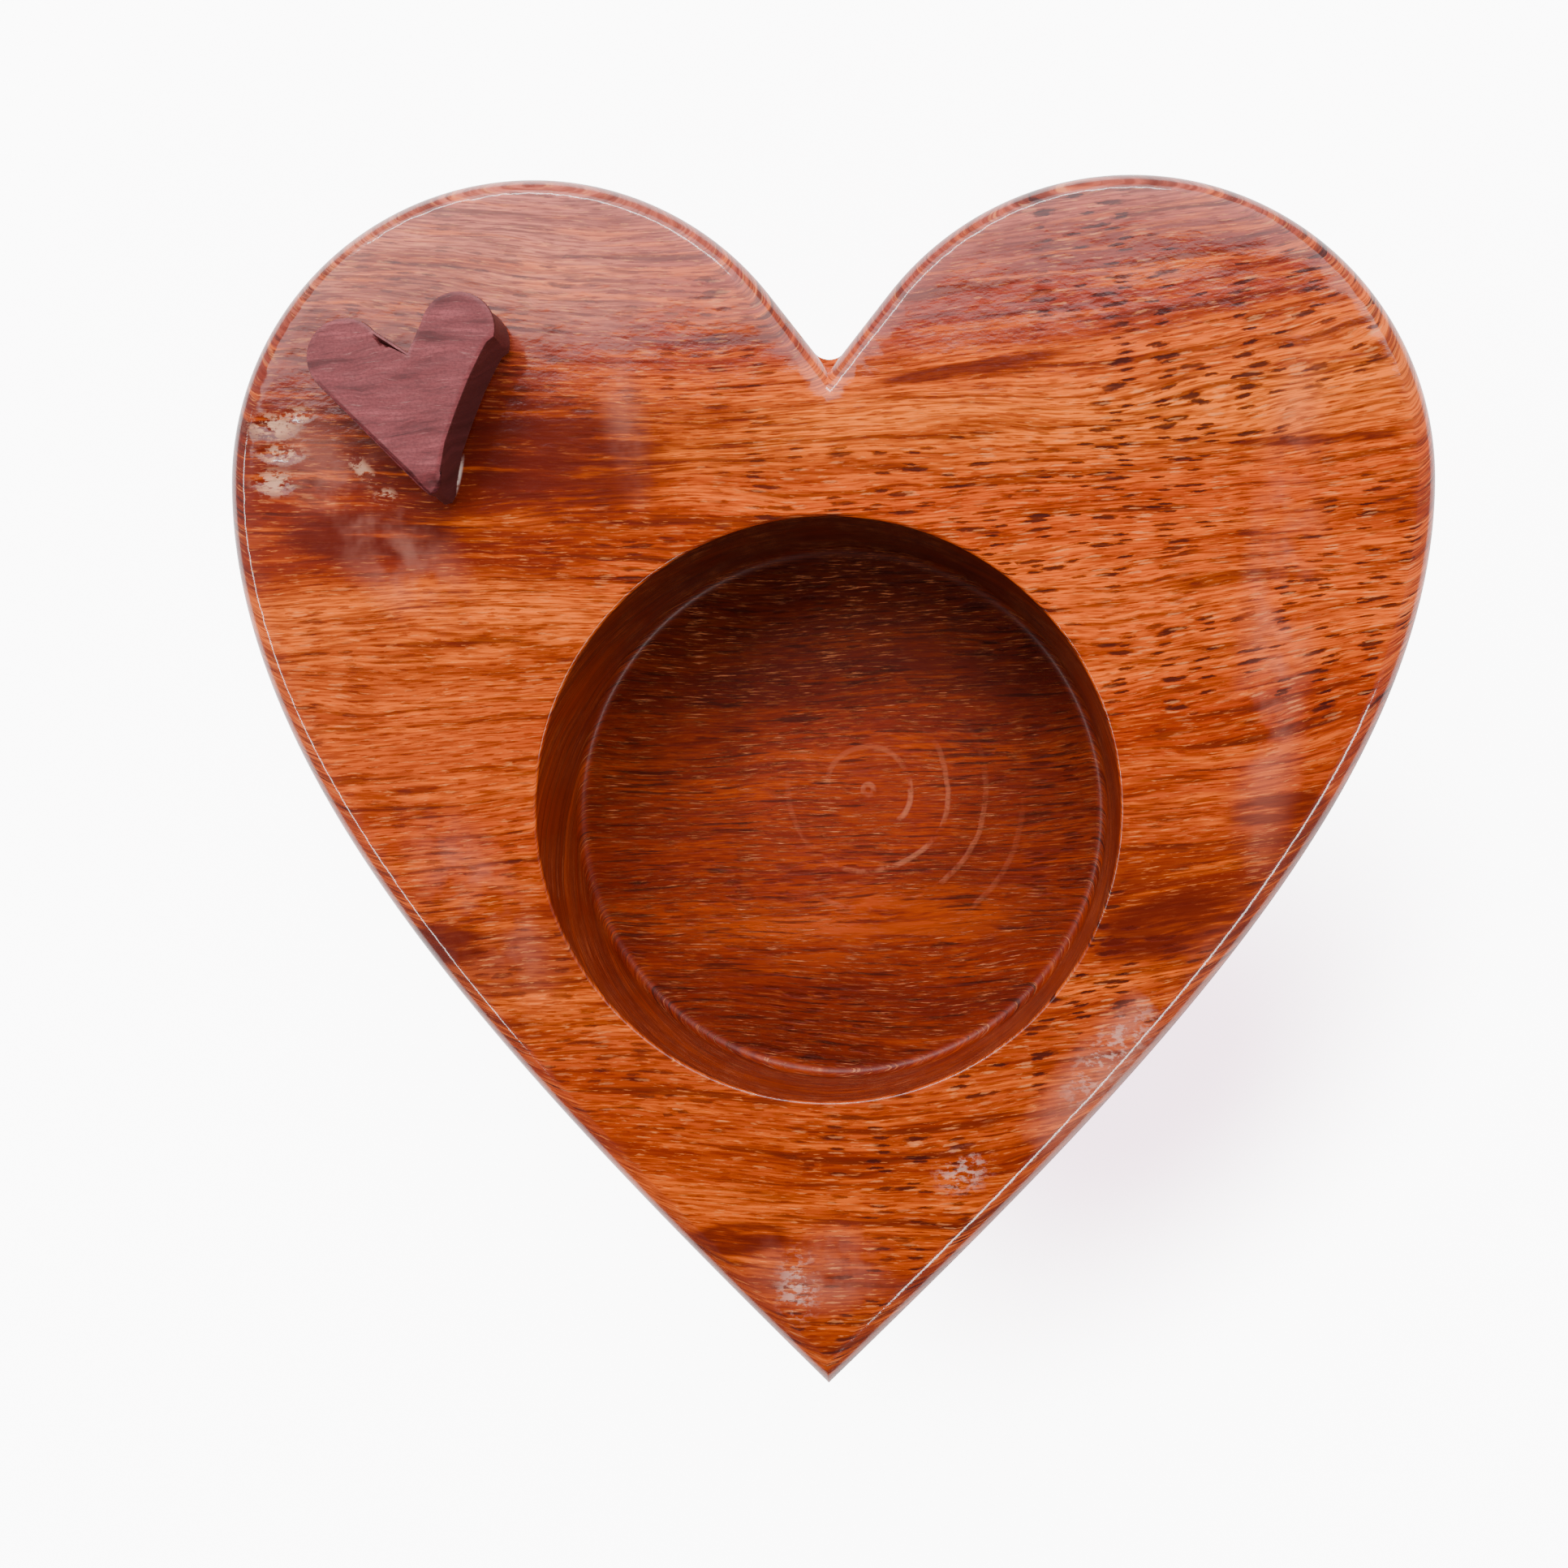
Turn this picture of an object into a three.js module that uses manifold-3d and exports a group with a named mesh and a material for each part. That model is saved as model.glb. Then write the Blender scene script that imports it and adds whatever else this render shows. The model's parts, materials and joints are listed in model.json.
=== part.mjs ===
// Wind-up music box: a lacquered hardwood heart with a round keepsake well in its top.
// A small heart-shaped knob on the left lobe winds an 18-note movement that hangs under the top.
// Units are millimetres, +Z is up, and the origin is on the table under the middle of the heart.
import * as THREE from 'three';
import { mergeVertices } from 'three/addons/utils/BufferGeometryUtils.js';
import Module from 'manifold-3d';

const wasm = await Module();
wasm.setup();

// ---- Driving dimensions -------------------------------------------------------------------------
const GAP = 0.3;                 // clearance between neighbouring pieces

const HEART = 125;               // width and height of the heart outline
const LOBE_RADIUS = 31.5;
const LOBE_CENTRE = HEART / 2 - LOBE_RADIUS;
const NOTCH_HALF_ANGLE = THREE.MathUtils.degToRad(38);
const FLANK_DROP = 30;           // reach of the flank curve's handle under the lobe
const TIP_HANDLE = [35.5, 34.5]; // offset of the flank curve's other handle from the tip

const FOOT_HEIGHT = 2.2;
const CASE_BOTTOM = FOOT_HEIGHT + GAP;
const CASE_TOP = 48;
const EDGE_ROUND = 2.4;
const BOTTOM_ROUND = 0.8;
const NOTCH_FILLET = 2;
const WALL = 5;

const WELL_RADIUS = 30;
const WELL_DEPTH = 16.5;
const WELL_CENTRE_Y = -3;
const WELL_FLOOR = 4;            // wood left under the well
const CEILING = CASE_TOP - WELL_DEPTH - WELL_FLOOR;

const COVER_BOTTOM = CASE_BOTTOM + 0.2;
const COVER_THICKNESS = 3;
const COVER_TOP = COVER_BOTTOM + COVER_THICKNESS;
const REBATE_WALL = 2.8;
const COVER_SCREWS = [[0, -49.5], [-50.5, 11], [50.5, 11], [-13.5, 48.5], [13.5, 48.5]];
const BOSS_RADIUS = 4.4;
const BOSS_HEIGHT = 10.5;
const FEET = [[-36, 30], [36, 30], [0, -34]];
const FOOT_RADIUS = 6;

const KNOB_X = -41.2;
const KNOB_Y = 37.8;
const KNOB_TURN = THREE.MathUtils.degToRad(15);
const KNOB_LOBE_RADIUS = 3.95;
const KNOB_LOBE_X = 5.9;
const KNOB_LOBE_Y = 5.9;
const KNOB_TIP = -9.8;
const KNOB_THICKNESS = 5;
const KNOB_BOTTOM = CASE_TOP + 0.4;
const BUSHING_RADIUS = 3.8;
const EXTENSION_RADIUS = 2.6;
const INSERT_RADIUS = 3.4;

// The movement is laid out in its own frame: u runs from the barrel towards the well, v crosses it
// towards the comb, and w runs from the bedplate towards the bottom cover.
const MOVEMENT_TOP = CEILING - GAP;
const MOVEMENT_TURN = THREE.MathUtils.degToRad(-45);
const PLATE = 2;                 // bedplate thickness
const AXIS_W = 9.2;              // height of the cylinder's arbor

const CROWN_TEETH = 32;
const CROWN_RADIUS = 9.8;        // middle of the crown wheel's teeth
const DRIVE_MODULE = 2 * CROWN_RADIUS / CROWN_TEETH;
const DRIVE_PINION_TEETH = 8;
const BARREL_RADIUS = 8.2;
const BARREL_TOP = 15;
const FLANGE_W = 5;

const CYLINDER_START = 12.5;
const CYLINDER_LENGTH = 19;
const CYLINDER_RADIUS = 6.2;
const PIN_HEIGHT = 0.5;
const NOTES = 18;

const TRAIN_MODULE = 0.45;
const CYLINDER_WHEEL_TEETH = 27;
const GOVERNOR_PINION_TEETH = 9;
const GOVERNOR_V = -TRAIN_MODULE * (CYLINDER_WHEEL_TEETH + GOVERNOR_PINION_TEETH) / 2;
const WORM_MODULE = 0.5;
const WORM_WHEEL_TEETH = 20;
const WORM_WHEEL_U = 36.2;
const WORM_RADIUS = 1.5;
const WORM_V = GOVERNOR_V - WORM_MODULE * WORM_WHEEL_TEETH / 2 - WORM_RADIUS;

const COMB_W = 9;
const COMB_THICKNESS = 0.9;
const COMB_TIP_V = CYLINDER_RADIUS + PIN_HEIGHT + GAP;
const COMB_BACK_V = 20.4;
const COMB_START = 12.6;
const COMB_END = 31.4;
const COMB_SCREWS_U = [17, 27];
const COMB_SCREW_V = 17.6;
const MOVEMENT_SCREWS = [[3, -14.6], [3, 14.6], [26, -15.5]];
const BRACKET_SCREWS = [[13.4, -9.2], [36.4, 1.3], [36.4, -17.4]];
const PLATE_SIDE = 21;
const PLATE_END = 41;
const TRAIN_U = 32.6;             // plane of the cylinder's wheel and the governor's pinion

// ---- Materials ----------------------------------------------------------------------------------
function material(name, color, roughness, metalness) {
  return new THREE.MeshStandardMaterial({ name, color, roughness, metalness });
}

const caseWood = material('case_wood', 0x8a3419, 0.25, 0);
const knobWood = material('knob_wood', 0x3d1a1c, 0.45, 0);
const coverWood = material('cover_wood', 0x6e4a30, 0.6, 0);
const brass = material('brass', 0xc9a24a, 0.3, 1);
const steel = material('steel', 0xb4b7bb, 0.3, 1);
const castMetal = material('cast_metal', 0x9a9a98, 0.5, 1);
const springSteel = material('spring_steel', 0x4d545e, 0.35, 1);
const feltPad = material('foot_pad', 0x2b2624, 0.9, 0);
const fanPlastic = material('fan_plastic', 0xe4e0d4, 0.5, 0);

// ---- Solids -------------------------------------------------------------------------------------
function solid(geometry) {
  const bare = geometry.clone();
  bare.deleteAttribute('normal');
  bare.deleteAttribute('uv');
  const merged = mergeVertices(bare, 1e-4);
  return new wasm.Manifold(new wasm.Mesh({
    numProp: 3,
    vertProperties: new Float32Array(merged.attributes.position.array),
    triVerts: new Uint32Array(merged.index.array),
  }));
}

function geometryOf(manifold) {
  const mesh = manifold.getMesh();
  const geometry = new THREE.BufferGeometry();
  geometry.setAttribute('position', new THREE.BufferAttribute(mesh.vertProperties, 3));
  geometry.setIndex(new THREE.BufferAttribute(mesh.triVerts, 1));
  geometry.computeVertexNormals();
  return geometry;
}

// A disc, or with an inner radius a tube, standing on z = bottom.
function round(radius, bottom, top, segments = 32, inner = 0) {
  const shape = new THREE.Shape();
  shape.absarc(0, 0, radius, 0, 2 * Math.PI);
  if (inner > 0) {
    shape.holes.push(new THREE.Path().absarc(0, 0, inner, 0, 2 * Math.PI, true));
  }
  return slab(shape, bottom, top, segments / 2);
}

function slab(shape, bottom, top, curveSegments = 12) {
  const geometry = new THREE.ExtrudeGeometry(shape, {
    depth: top - bottom, bevelEnabled: false, curveSegments,
  });
  return geometry.translate(0, 0, bottom);
}

function block(x0, x1, y0, y1, z0, z1) {
  const geometry = new THREE.BoxGeometry(x1 - x0, y1 - y0, z1 - z0);
  return geometry.translate((x0 + x1) / 2, (y0 + y1) / 2, (z0 + z1) / 2);
}

function turned(points, segments = 32) {
  const profile = points.map(([radius, height]) => new THREE.Vector2(radius, height));
  return new THREE.LatheGeometry(profile, segments).rotateX(Math.PI / 2);
}

function moved(geometry, x, y, z = 0) {
  return geometry.translate(x, y, z);
}

// Turns a piece built along z so that it runs along the movement's u axis.
function alongU(geometry, v = 0, w = AXIS_W) {
  const basis = new THREE.Matrix4().makeBasis(
    new THREE.Vector3(0, 1, 0), new THREE.Vector3(0, 0, 1), new THREE.Vector3(1, 0, 0));
  return geometry.applyMatrix4(basis).translate(0, v, w);
}

function join(first, ...others) {
  return geometryOf(others.reduce((sum, geometry) => sum.add(solid(geometry)), solid(first)));
}

function cut(body, ...tools) {
  return geometryOf(tools.reduce((rest, tool) => rest.subtract(solid(tool)), solid(body)));
}

// ---- Heart outline ------------------------------------------------------------------------------
// Two round lobes, a straight-sided notch and gently bowed flanks that meet in a sharp tip.
function caseShape() {
  const tip = -HEART / 2;
  const [handleX, handleY] = TIP_HANDLE;
  const straight = Math.PI - NOTCH_HALF_ANGLE;
  const tangentX = LOBE_CENTRE + LOBE_RADIUS * Math.cos(straight);
  const tangentY = LOBE_CENTRE + LOBE_RADIUS * Math.sin(straight);
  const notchY = tangentY - tangentX / Math.tan(NOTCH_HALF_ANGLE);
  const shape = new THREE.Shape();
  shape.moveTo(0, tip);
  shape.bezierCurveTo(handleX, tip + handleY, HEART / 2, LOBE_CENTRE - FLANK_DROP,
    HEART / 2, LOBE_CENTRE);
  shape.absarc(LOBE_CENTRE, LOBE_CENTRE, LOBE_RADIUS, 0, straight);
  shape.lineTo(0, notchY);
  shape.lineTo(-tangentX, tangentY);
  shape.absarc(-LOBE_CENTRE, LOBE_CENTRE, LOBE_RADIUS, Math.PI - straight, Math.PI);
  shape.bezierCurveTo(-HEART / 2, LOBE_CENTRE - FLANK_DROP, -handleX, tip + handleY, 0, tip);
  return { shape, notchY };
}

// The knob's plainer heart: two round lobes, a square notch and straight flanks.
function knobShape() {
  const notchAngle = THREE.MathUtils.degToRad(137);
  const reach = Math.hypot(KNOB_LOBE_X, KNOB_LOBE_Y - KNOB_TIP);
  const flank = Math.atan2(KNOB_LOBE_X, KNOB_LOBE_Y - KNOB_TIP) + Math.asin(KNOB_LOBE_RADIUS / reach);
  const onLobe = (angle) => [
    KNOB_LOBE_X + KNOB_LOBE_RADIUS * Math.cos(angle), KNOB_LOBE_Y + KNOB_LOBE_RADIUS * Math.sin(angle)];
  const [notchX, notchTop] = onLobe(notchAngle);
  const notchY = notchTop + notchX / Math.tan(notchAngle);
  const [flankX, flankY] = onLobe(-flank);
  const shape = new THREE.Shape();
  shape.moveTo(0, KNOB_TIP);
  shape.lineTo(flankX, flankY);
  shape.absarc(KNOB_LOBE_X, KNOB_LOBE_Y, KNOB_LOBE_RADIUS, -flank, notchAngle);
  shape.lineTo(0, notchY);
  shape.lineTo(-notchX, notchTop);
  shape.absarc(-KNOB_LOBE_X, KNOB_LOBE_Y, KNOB_LOBE_RADIUS, Math.PI - notchAngle, Math.PI + flank);
  shape.lineTo(0, KNOB_TIP);
  return shape;
}

// A heart slab whose outline stays full size between its two rounded edges.
function roundedSlab(shape, bottom, top, edge, edgeSegments, curveSegments = 11) {
  const geometry = new THREE.ExtrudeGeometry(shape, {
    depth: top - bottom - 2 * edge, bevelEnabled: true, bevelThickness: edge, bevelSize: edge,
    bevelOffset: -edge, bevelSegments: edgeSegments, curveSegments,
  });
  return geometry.translate(0, 0, bottom + edge);
}

// The outline moved inwards by a distance, corner by corner.
function insetShape(shape, distance, curveSegments = 8) {
  const points = shape.extractPoints(curveSegments).shape;
  if (points[0].distanceTo(points[points.length - 1]) < 1e-6) {
    points.pop();
  }
  const count = points.length;
  const inset = points.map((point, index) => {
    const before = point.clone().sub(points[(index + count - 1) % count]).normalize();
    const after = points[(index + 1) % count].clone().sub(point).normalize();
    const sum = new THREE.Vector2(-before.y - after.y, before.x + after.x).normalize();
    const reach = distance / (sum.x * -before.y + sum.y * before.x);
    return point.clone().addScaledVector(sum, reach);
  });
  return new THREE.Shape(inset);
}

// ---- Case ---------------------------------------------------------------------------------------
// The wood left in the bottom of the notch, below the rounded edge.
function notchFill(notchY) {
  const along = NOTCH_FILLET / Math.tan(NOTCH_HALF_ANGLE);
  const tangentX = along * Math.sin(NOTCH_HALF_ANGLE);
  const tangentY = notchY + along * Math.cos(NOTCH_HALF_ANGLE);
  const centreY = notchY + NOTCH_FILLET / Math.sin(NOTCH_HALF_ANGLE);
  const shape = new THREE.Shape();
  shape.moveTo(0, notchY - 3);
  shape.lineTo(tangentX + 0.6, tangentY - 0.9);
  shape.lineTo(tangentX, tangentY);
  shape.absarc(0, centreY, NOTCH_FILLET, -NOTCH_HALF_ANGLE, -Math.PI + NOTCH_HALF_ANGLE, true);
  shape.lineTo(-tangentX - 0.6, tangentY - 0.9);
  return slab(shape, CASE_BOTTOM + BOTTOM_ROUND, CASE_TOP - EDGE_ROUND, 6);
}

function wellCutter() {
  const floor = CASE_TOP - WELL_DEPTH;
  const fillet = 1.2;
  const profile = [[0, floor], [WELL_RADIUS - fillet, floor]];
  profile.push([WELL_RADIUS - 0.3 * fillet, floor + 0.3 * fillet]);
  profile.push([WELL_RADIUS, floor + fillet], [WELL_RADIUS, CASE_TOP + 1], [0, CASE_TOP + 1]);
  return moved(turned(profile, 60), 0, WELL_CENTRE_Y);
}

// The hollow for the movement, with solid corners left for the cover's screws.
function cavityCutter(shape) {
  const hollow = solid(slab(insetShape(shape, WALL), CASE_BOTTOM - 1, CEILING));
  const bosses = COVER_SCREWS.map(([x, y]) => solid(
    moved(round(BOSS_RADIUS, COVER_TOP + 0.2, COVER_TOP + 0.2 + BOSS_HEIGHT, 16), x, y)));
  return geometryOf(bosses.reduce((rest, boss) => rest.subtract(boss), hollow));
}

function caseBody() {
  const { shape, notchY } = caseShape();
  const outside = join(
    roundedSlab(shape, CASE_BOTTOM + 8, CASE_TOP, EDGE_ROUND, 3),
    roundedSlab(shape, CASE_BOTTOM, CASE_TOP - 8, BOTTOM_ROUND, 1),
    notchFill(notchY));
  const rebate = slab(insetShape(shape, REBATE_WALL), CASE_BOTTOM - 1, COVER_TOP + 0.2);
  const arborHole = moved(round(BUSHING_RADIUS + 0.1, CEILING - 1, CASE_TOP + 1, 24), KNOB_X, KNOB_Y);
  const coverPilots = COVER_SCREWS.map(
    ([x, y]) => moved(round(1.5, COVER_TOP - 1, COVER_TOP + 9.5, 12), x, y));
  const movementPilots = MOVEMENT_SCREWS.map(([u, v]) => {
    const place = new THREE.Vector3(u, v, 0).applyMatrix4(movementMatrix());
    return moved(round(1.5, CEILING - 1, CEILING + 6.5, 12), place.x, place.y);
  });
  return cut(outside, wellCutter(), cavityCutter(shape), rebate, arborHole,
    ...coverPilots, ...movementPilots);
}

function bottomCover() {
  const { shape } = caseShape();
  const panel = slab(insetShape(shape, REBATE_WALL + GAP), COVER_BOTTOM, COVER_TOP);
  const holes = [moved(round(3, 0, 10, 12), 0, 6)];
  for (let index = 0; index < 6; index += 1) {
    const angle = index * Math.PI / 3;
    holes.push(moved(round(3, 0, 10, 12), 11 * Math.cos(angle), 6 + 11 * Math.sin(angle)));
  }
  for (const [x, y] of COVER_SCREWS) {
    holes.push(moved(round(1.5, 0, 10, 12), x, y));
    holes.push(moved(round(2.9, 0, COVER_BOTTOM + 1.6, 12), x, y));
  }
  return cut(panel, ...holes);
}

// A screw that points up from z = 0, with a round head below it.
function screw(headRadius, headHeight, shankRadius, length) {
  return turned([
    [0, -headHeight], [headRadius - 0.3, -headHeight], [headRadius, 0.3 - headHeight],
    [headRadius, 0], [shankRadius, 0], [shankRadius, length - shankRadius], [0, length],
  ], 10);
}

function foot() {
  return turned([
    [0, 0], [FOOT_RADIUS - 0.5, 0], [FOOT_RADIUS, 0.5], [FOOT_RADIUS, FOOT_HEIGHT + 0.2],
    [0, FOOT_HEIGHT + 0.2],
  ], 16);
}

// ---- Winder -------------------------------------------------------------------------------------
function windingKnob() {
  const body = roundedSlab(knobShape(), 0, KNOB_THICKNESS, 0.4, 2, 8);
  return cut(body, round(INSERT_RADIUS + 0.1, -1, KNOB_THICKNESS - 1.4, 24));
}

function knobInsert() {
  return round(INSERT_RADIUS, 0, 3.4, 24, EXTENSION_RADIUS + 0.1);
}

// The rod from the knob to the movement; its lower end is bored to take the arbor.
function arborExtension() {
  const bottom = CEILING + 1;
  const rod = round(EXTENSION_RADIUS, bottom, KNOB_BOTTOM + 3, 20);
  return cut(rod, round(1.9, bottom - 1, bottom + 7, 16));
}

function windingArbor() {
  return turned([
    [0, -7], [1.4, -7], [1.8, -6.6], [1.8, BARREL_TOP + 1.8], [1.2, BARREL_TOP + 2.4],
    [0, BARREL_TOP + 2.4],
  ], 16);
}

// ---- Movement -----------------------------------------------------------------------------------
function movementMatrix() {
  const u = new THREE.Vector3(Math.cos(MOVEMENT_TURN), Math.sin(MOVEMENT_TURN), 0);
  const w = new THREE.Vector3(0, 0, -1);
  const v = new THREE.Vector3().crossVectors(w, u);
  return new THREE.Matrix4().makeBasis(u, v, w).setPosition(KNOB_X, KNOB_Y, MOVEMENT_TOP);
}

// The cast plate: rounded to the lobe's curve at the barrel, raised into a seat under the comb.
function bedplate() {
  const lobe = new THREE.Vector3(-LOBE_CENTRE, LOBE_CENTRE, 0)
    .applyMatrix4(movementMatrix().invert());
  const end = solid(moved(round(LOBE_RADIUS - WALL - 0.7, 0, PLATE, 48), lobe.x, lobe.y))
    .intersect(solid(block(-14, lobe.x + 2, -PLATE_SIDE, PLATE_SIDE, -1, PLATE + 1)));
  const plate = solid(block(lobe.x, PLATE_END, -PLATE_SIDE, PLATE_SIDE, 0, PLATE));
  const seat = solid(block(COMB_START, COMB_END, 14.2, COMB_BACK_V, PLATE - 1, COMB_W - GAP));
  const holes = [round(2.2, -1, PLATE + 1, 20)];
  for (const [u, v] of MOVEMENT_SCREWS) {
    holes.push(moved(round(1.6, -1, PLATE + 1, 12), u, v));
  }
  for (const [u, v] of BRACKET_SCREWS) {
    holes.push(moved(round(1.1, 0.4, PLATE + 1, 12), u, v));
  }
  for (const u of COMB_SCREWS_U) {
    holes.push(moved(round(1.5, 3.5, COMB_W + 1, 12), u, COMB_SCREW_V));
  }
  return cut(geometryOf(end.add(plate).add(seat)), ...holes);
}

class Helix extends THREE.Curve {
  constructor(radius, pitch, start, startAngle, turns) {
    super();
    Object.assign(this, { radius, pitch, start, startAngle, turns });
  }

  getPoint(t, target = new THREE.Vector3()) {
    const angle = this.startAngle + 2 * Math.PI * this.turns * t;
    const rise = this.pitch * this.turns * t;
    return target.set(
      this.radius * Math.cos(angle), this.radius * Math.sin(angle), this.start + rise);
  }
}

function wire(curve, radius, steps) {
  const section = new THREE.Shape();
  section.absarc(0, 0, radius, 0, 2 * Math.PI);
  return new THREE.ExtrudeGeometry(section, { steps, curveSegments: 3, extrudePath: curve });
}

// The one-way clutch: a close coil that grips the arbor and keeps the wound spring from running back.
function wrapSpring() {
  const turns = 3.5;
  const pitch = 0.5;
  return wire(new Helix(2.35, pitch, PLATE + 0.6, 0, turns), 0.2, 10 * turns);
}

// A gear's outline with straight-sided teeth that leave plenty of backlash.
function gear(teeth, module, start, bore, thickness, addendum = 0.8) {
  const pitchRadius = module * teeth / 2;
  const tip = pitchRadius + addendum * module;
  const root = pitchRadius - 1.2 * module;
  const step = 2 * Math.PI / teeth;
  const points = [];
  for (let index = 0; index < teeth; index += 1) {
    const angle = start + index * step;
    for (const [radius, offset] of [[root, -0.23], [tip, -0.1], [tip, 0.1], [root, 0.23]]) {
      const at = angle + offset * step;
      points.push(new THREE.Vector2(radius * Math.cos(at), radius * Math.sin(at)));
    }
  }
  const shape = new THREE.Shape(points);
  shape.holes.push(new THREE.Path().absarc(0, 0, bore, 0, 2 * Math.PI, true));
  return slab(shape, -thickness / 2, thickness / 2, 6);
}

// A flat wheel whose teeth stand up from its rim, to turn the cylinder's pinion at a right angle.
function greatWheel() {
  const face = FLANGE_W + 1;
  const tooth = new THREE.Shape([[-0.42, -0.2], [0.42, -0.2], [0.2, 1.2], [-0.2, 1.2]]
    .map(([x, y]) => new THREE.Vector2(x, y)));
  let wheel = solid(round(CROWN_RADIUS + 1, FLANGE_W, face, 40, 2.2));
  for (let index = 0; index < CROWN_TEETH; index += 1) {
    const piece = alongU(slab(tooth, CROWN_RADIUS - 1, CROWN_RADIUS + 0.9), 0, face);
    piece.rotateZ((index + 0.5) * 2 * Math.PI / CROWN_TEETH);
    wheel = wheel.add(solid(piece));
  }
  return geometryOf(wheel);
}

function springBarrel() {
  const floor = FLANGE_W + 1 + GAP;
  const bore = 2.2;
  const inside = BARREL_RADIUS - 0.7;
  return turned([
    [bore, floor], [BARREL_RADIUS, floor], [BARREL_RADIUS, BARREL_TOP - 0.9],
    [inside, BARREL_TOP - 0.9], [inside, floor + 0.8], [bore, floor + 0.8], [bore, floor],
  ], 32);
}

function mainspring() {
  const turns = 5;
  const steps = 16 * turns;
  const ribbon = 0.3;
  const inner = 2.7;
  const outer = BARREL_RADIUS - 1.4;
  const along = (offset) => Array.from({ length: steps + 1 }, (_, index) => {
    const angle = 2 * Math.PI * turns * index / steps;
    const radius = inner + (outer - inner) * index / steps + offset;
    return new THREE.Vector2(radius * Math.cos(angle), radius * Math.sin(angle));
  });
  const outline = [...along(ribbon), ...along(0).reverse()];
  return slab(new THREE.Shape(outline), FLANGE_W + 2.6, BARREL_TOP - 1.3);
}

// The cylinder with its steel pins: two to a note, at spread angles.
function pinCylinder() {
  let cylinder = solid(round(CYLINDER_RADIUS, CYLINDER_START, CYLINDER_START + CYLINDER_LENGTH, 32, 1.2));
  for (let note = 0; note < NOTES; note += 1) {
    const along = CYLINDER_START + (note + 0.5) * CYLINDER_LENGTH / NOTES;
    for (let pin = 0; pin < 2; pin += 1) {
      const angle = ((note * 7 + pin * 13 + note * pin * 5) % 36) * Math.PI / 18 + 0.05;
      const peg = block(CYLINDER_RADIUS - 0.5, CYLINDER_RADIUS + PIN_HEIGHT, -0.16, 0.16, -0.16, 0.16);
      cylinder = cylinder.add(solid(peg.translate(0, 0, along).rotateZ(angle)));
    }
  }
  return alongU(geometryOf(cylinder));
}

function rodAlongU(radius, from, to, v = 0) {
  return alongU(round(radius, from, to, 12), v);
}

// The post that carries the cylinder's arbor next to the barrel.
function arborBracket() {
  const side = new THREE.Shape([[-11, 2.3], [2.5, 2.3], [2.5, 11.4], [-2.5, 11.4], [-2.5, 5], [-11, 5]]
    .map(([v, w]) => new THREE.Vector2(v, w)));
  side.holes.push(new THREE.Path().absarc(0, AXIS_W, 1.2, 0, 2 * Math.PI, true));
  const post = alongU(slab(side, 11.2, 12, 6), 0, 0);
  const [u, v] = BRACKET_SCREWS[0];
  return cut(join(post, block(11.5, 15.4, -11, -7.2, 2.3, 3.1)), moved(round(1.1, 1, 4, 12), u, v));
}

function comb() {
  const pitch = CYLINDER_LENGTH / NOTES;
  const tine = 0.72;
  const points = [[COMB_START, COMB_BACK_V], [COMB_END, COMB_BACK_V]];
  for (let note = NOTES - 1; note >= 0; note -= 1) {
    const centre = CYLINDER_START + (note + 0.5) * pitch;
    const root = 15 - 3 * note / (NOTES - 1);
    points.push([centre + tine / 2, root], [centre + tine / 2, COMB_TIP_V]);
    points.push([centre - tine / 2, COMB_TIP_V], [centre - tine / 2, root]);
  }
  const shape = new THREE.Shape(points.map(([u, v]) => new THREE.Vector2(u, v)));
  const holes = COMB_SCREWS_U.map((u) => moved(round(1.5, 0, 20, 12), u, COMB_SCREW_V));
  return cut(slab(shape, COMB_W, COMB_W + COMB_THICKNESS), ...holes);
}

// One folded frame: the cylinder's far bearing, both governor bearings and the worm's top bearing.
function governorBracket() {
  const cheek = new THREE.Shape([[-13.9, 2.3], [3.2, 2.3], [3.2, 12], [-13.9, 12]]
    .map(([v, w]) => new THREE.Vector2(v, w)));
  cheek.holes.push(new THREE.Path().absarc(0, AXIS_W, 1.2, 0, 2 * Math.PI, true));
  cheek.holes.push(new THREE.Path().absarc(GOVERNOR_V, AXIS_W, 0.8, 0, 2 * Math.PI, true));
  const frame = join(
    alongU(slab(cheek, 34, 34.8, 6), 0, 0),
    block(34.2, 38.6, -19, 3.2, 2.3, 3.2),
    block(38, 38.8, -19, -6.2, 2.3, 15),
    block(34.4, 38.4, WORM_V - 2, WORM_V + 2, 14.2, 15));
  return cut(frame,
    rodAlongU(0.8, 37, 40, GOVERNOR_V),
    moved(round(0.85, 14, 16, 12), WORM_WHEEL_U, WORM_V),
    ...BRACKET_SCREWS.slice(1).map(([u, v]) => moved(round(1.1, 1, 4, 12), u, v)));
}

// A single-start right-hand worm on a fine shaft; it starts half a pitch off the wheel's tooth.
function wormShaft() {
  const pitch = Math.PI * WORM_MODULE;
  const turns = 3;
  const firstTurn = -turns * Math.PI;
  const start = AXIS_W + pitch / 4 + pitch * firstTurn / (2 * Math.PI);
  const thread = wire(new Helix(1.3, pitch, start, firstTurn, turns), 0.36, 10 * turns);
  const spindle = turned([
    [0, 3.6], [0.6, 3.9], [0.6, 6.2], [1, 6.2], [1, 12.4], [0.6, 12.4], [0.6, 19.4], [0, 19.7],
  ], 16);
  return moved(join(spindle, thread), WORM_WHEEL_U, WORM_V);
}

function fan() {
  const blades = join(round(1.3, 15.8, 19, 16), block(-5.2, 5.2, -0.2, 0.2, 15.9, 18.9));
  return moved(cut(blades, round(0.7, 15, 20, 12)), WORM_WHEEL_U, WORM_V);
}

// A screw that points towards the bedplate's outer face.
function screwInto(u, v, w, headRadius, headHeight, shankRadius, length) {
  return moved(screw(headRadius, headHeight, shankRadius, length).rotateX(Math.PI), u, v, w);
}

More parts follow.
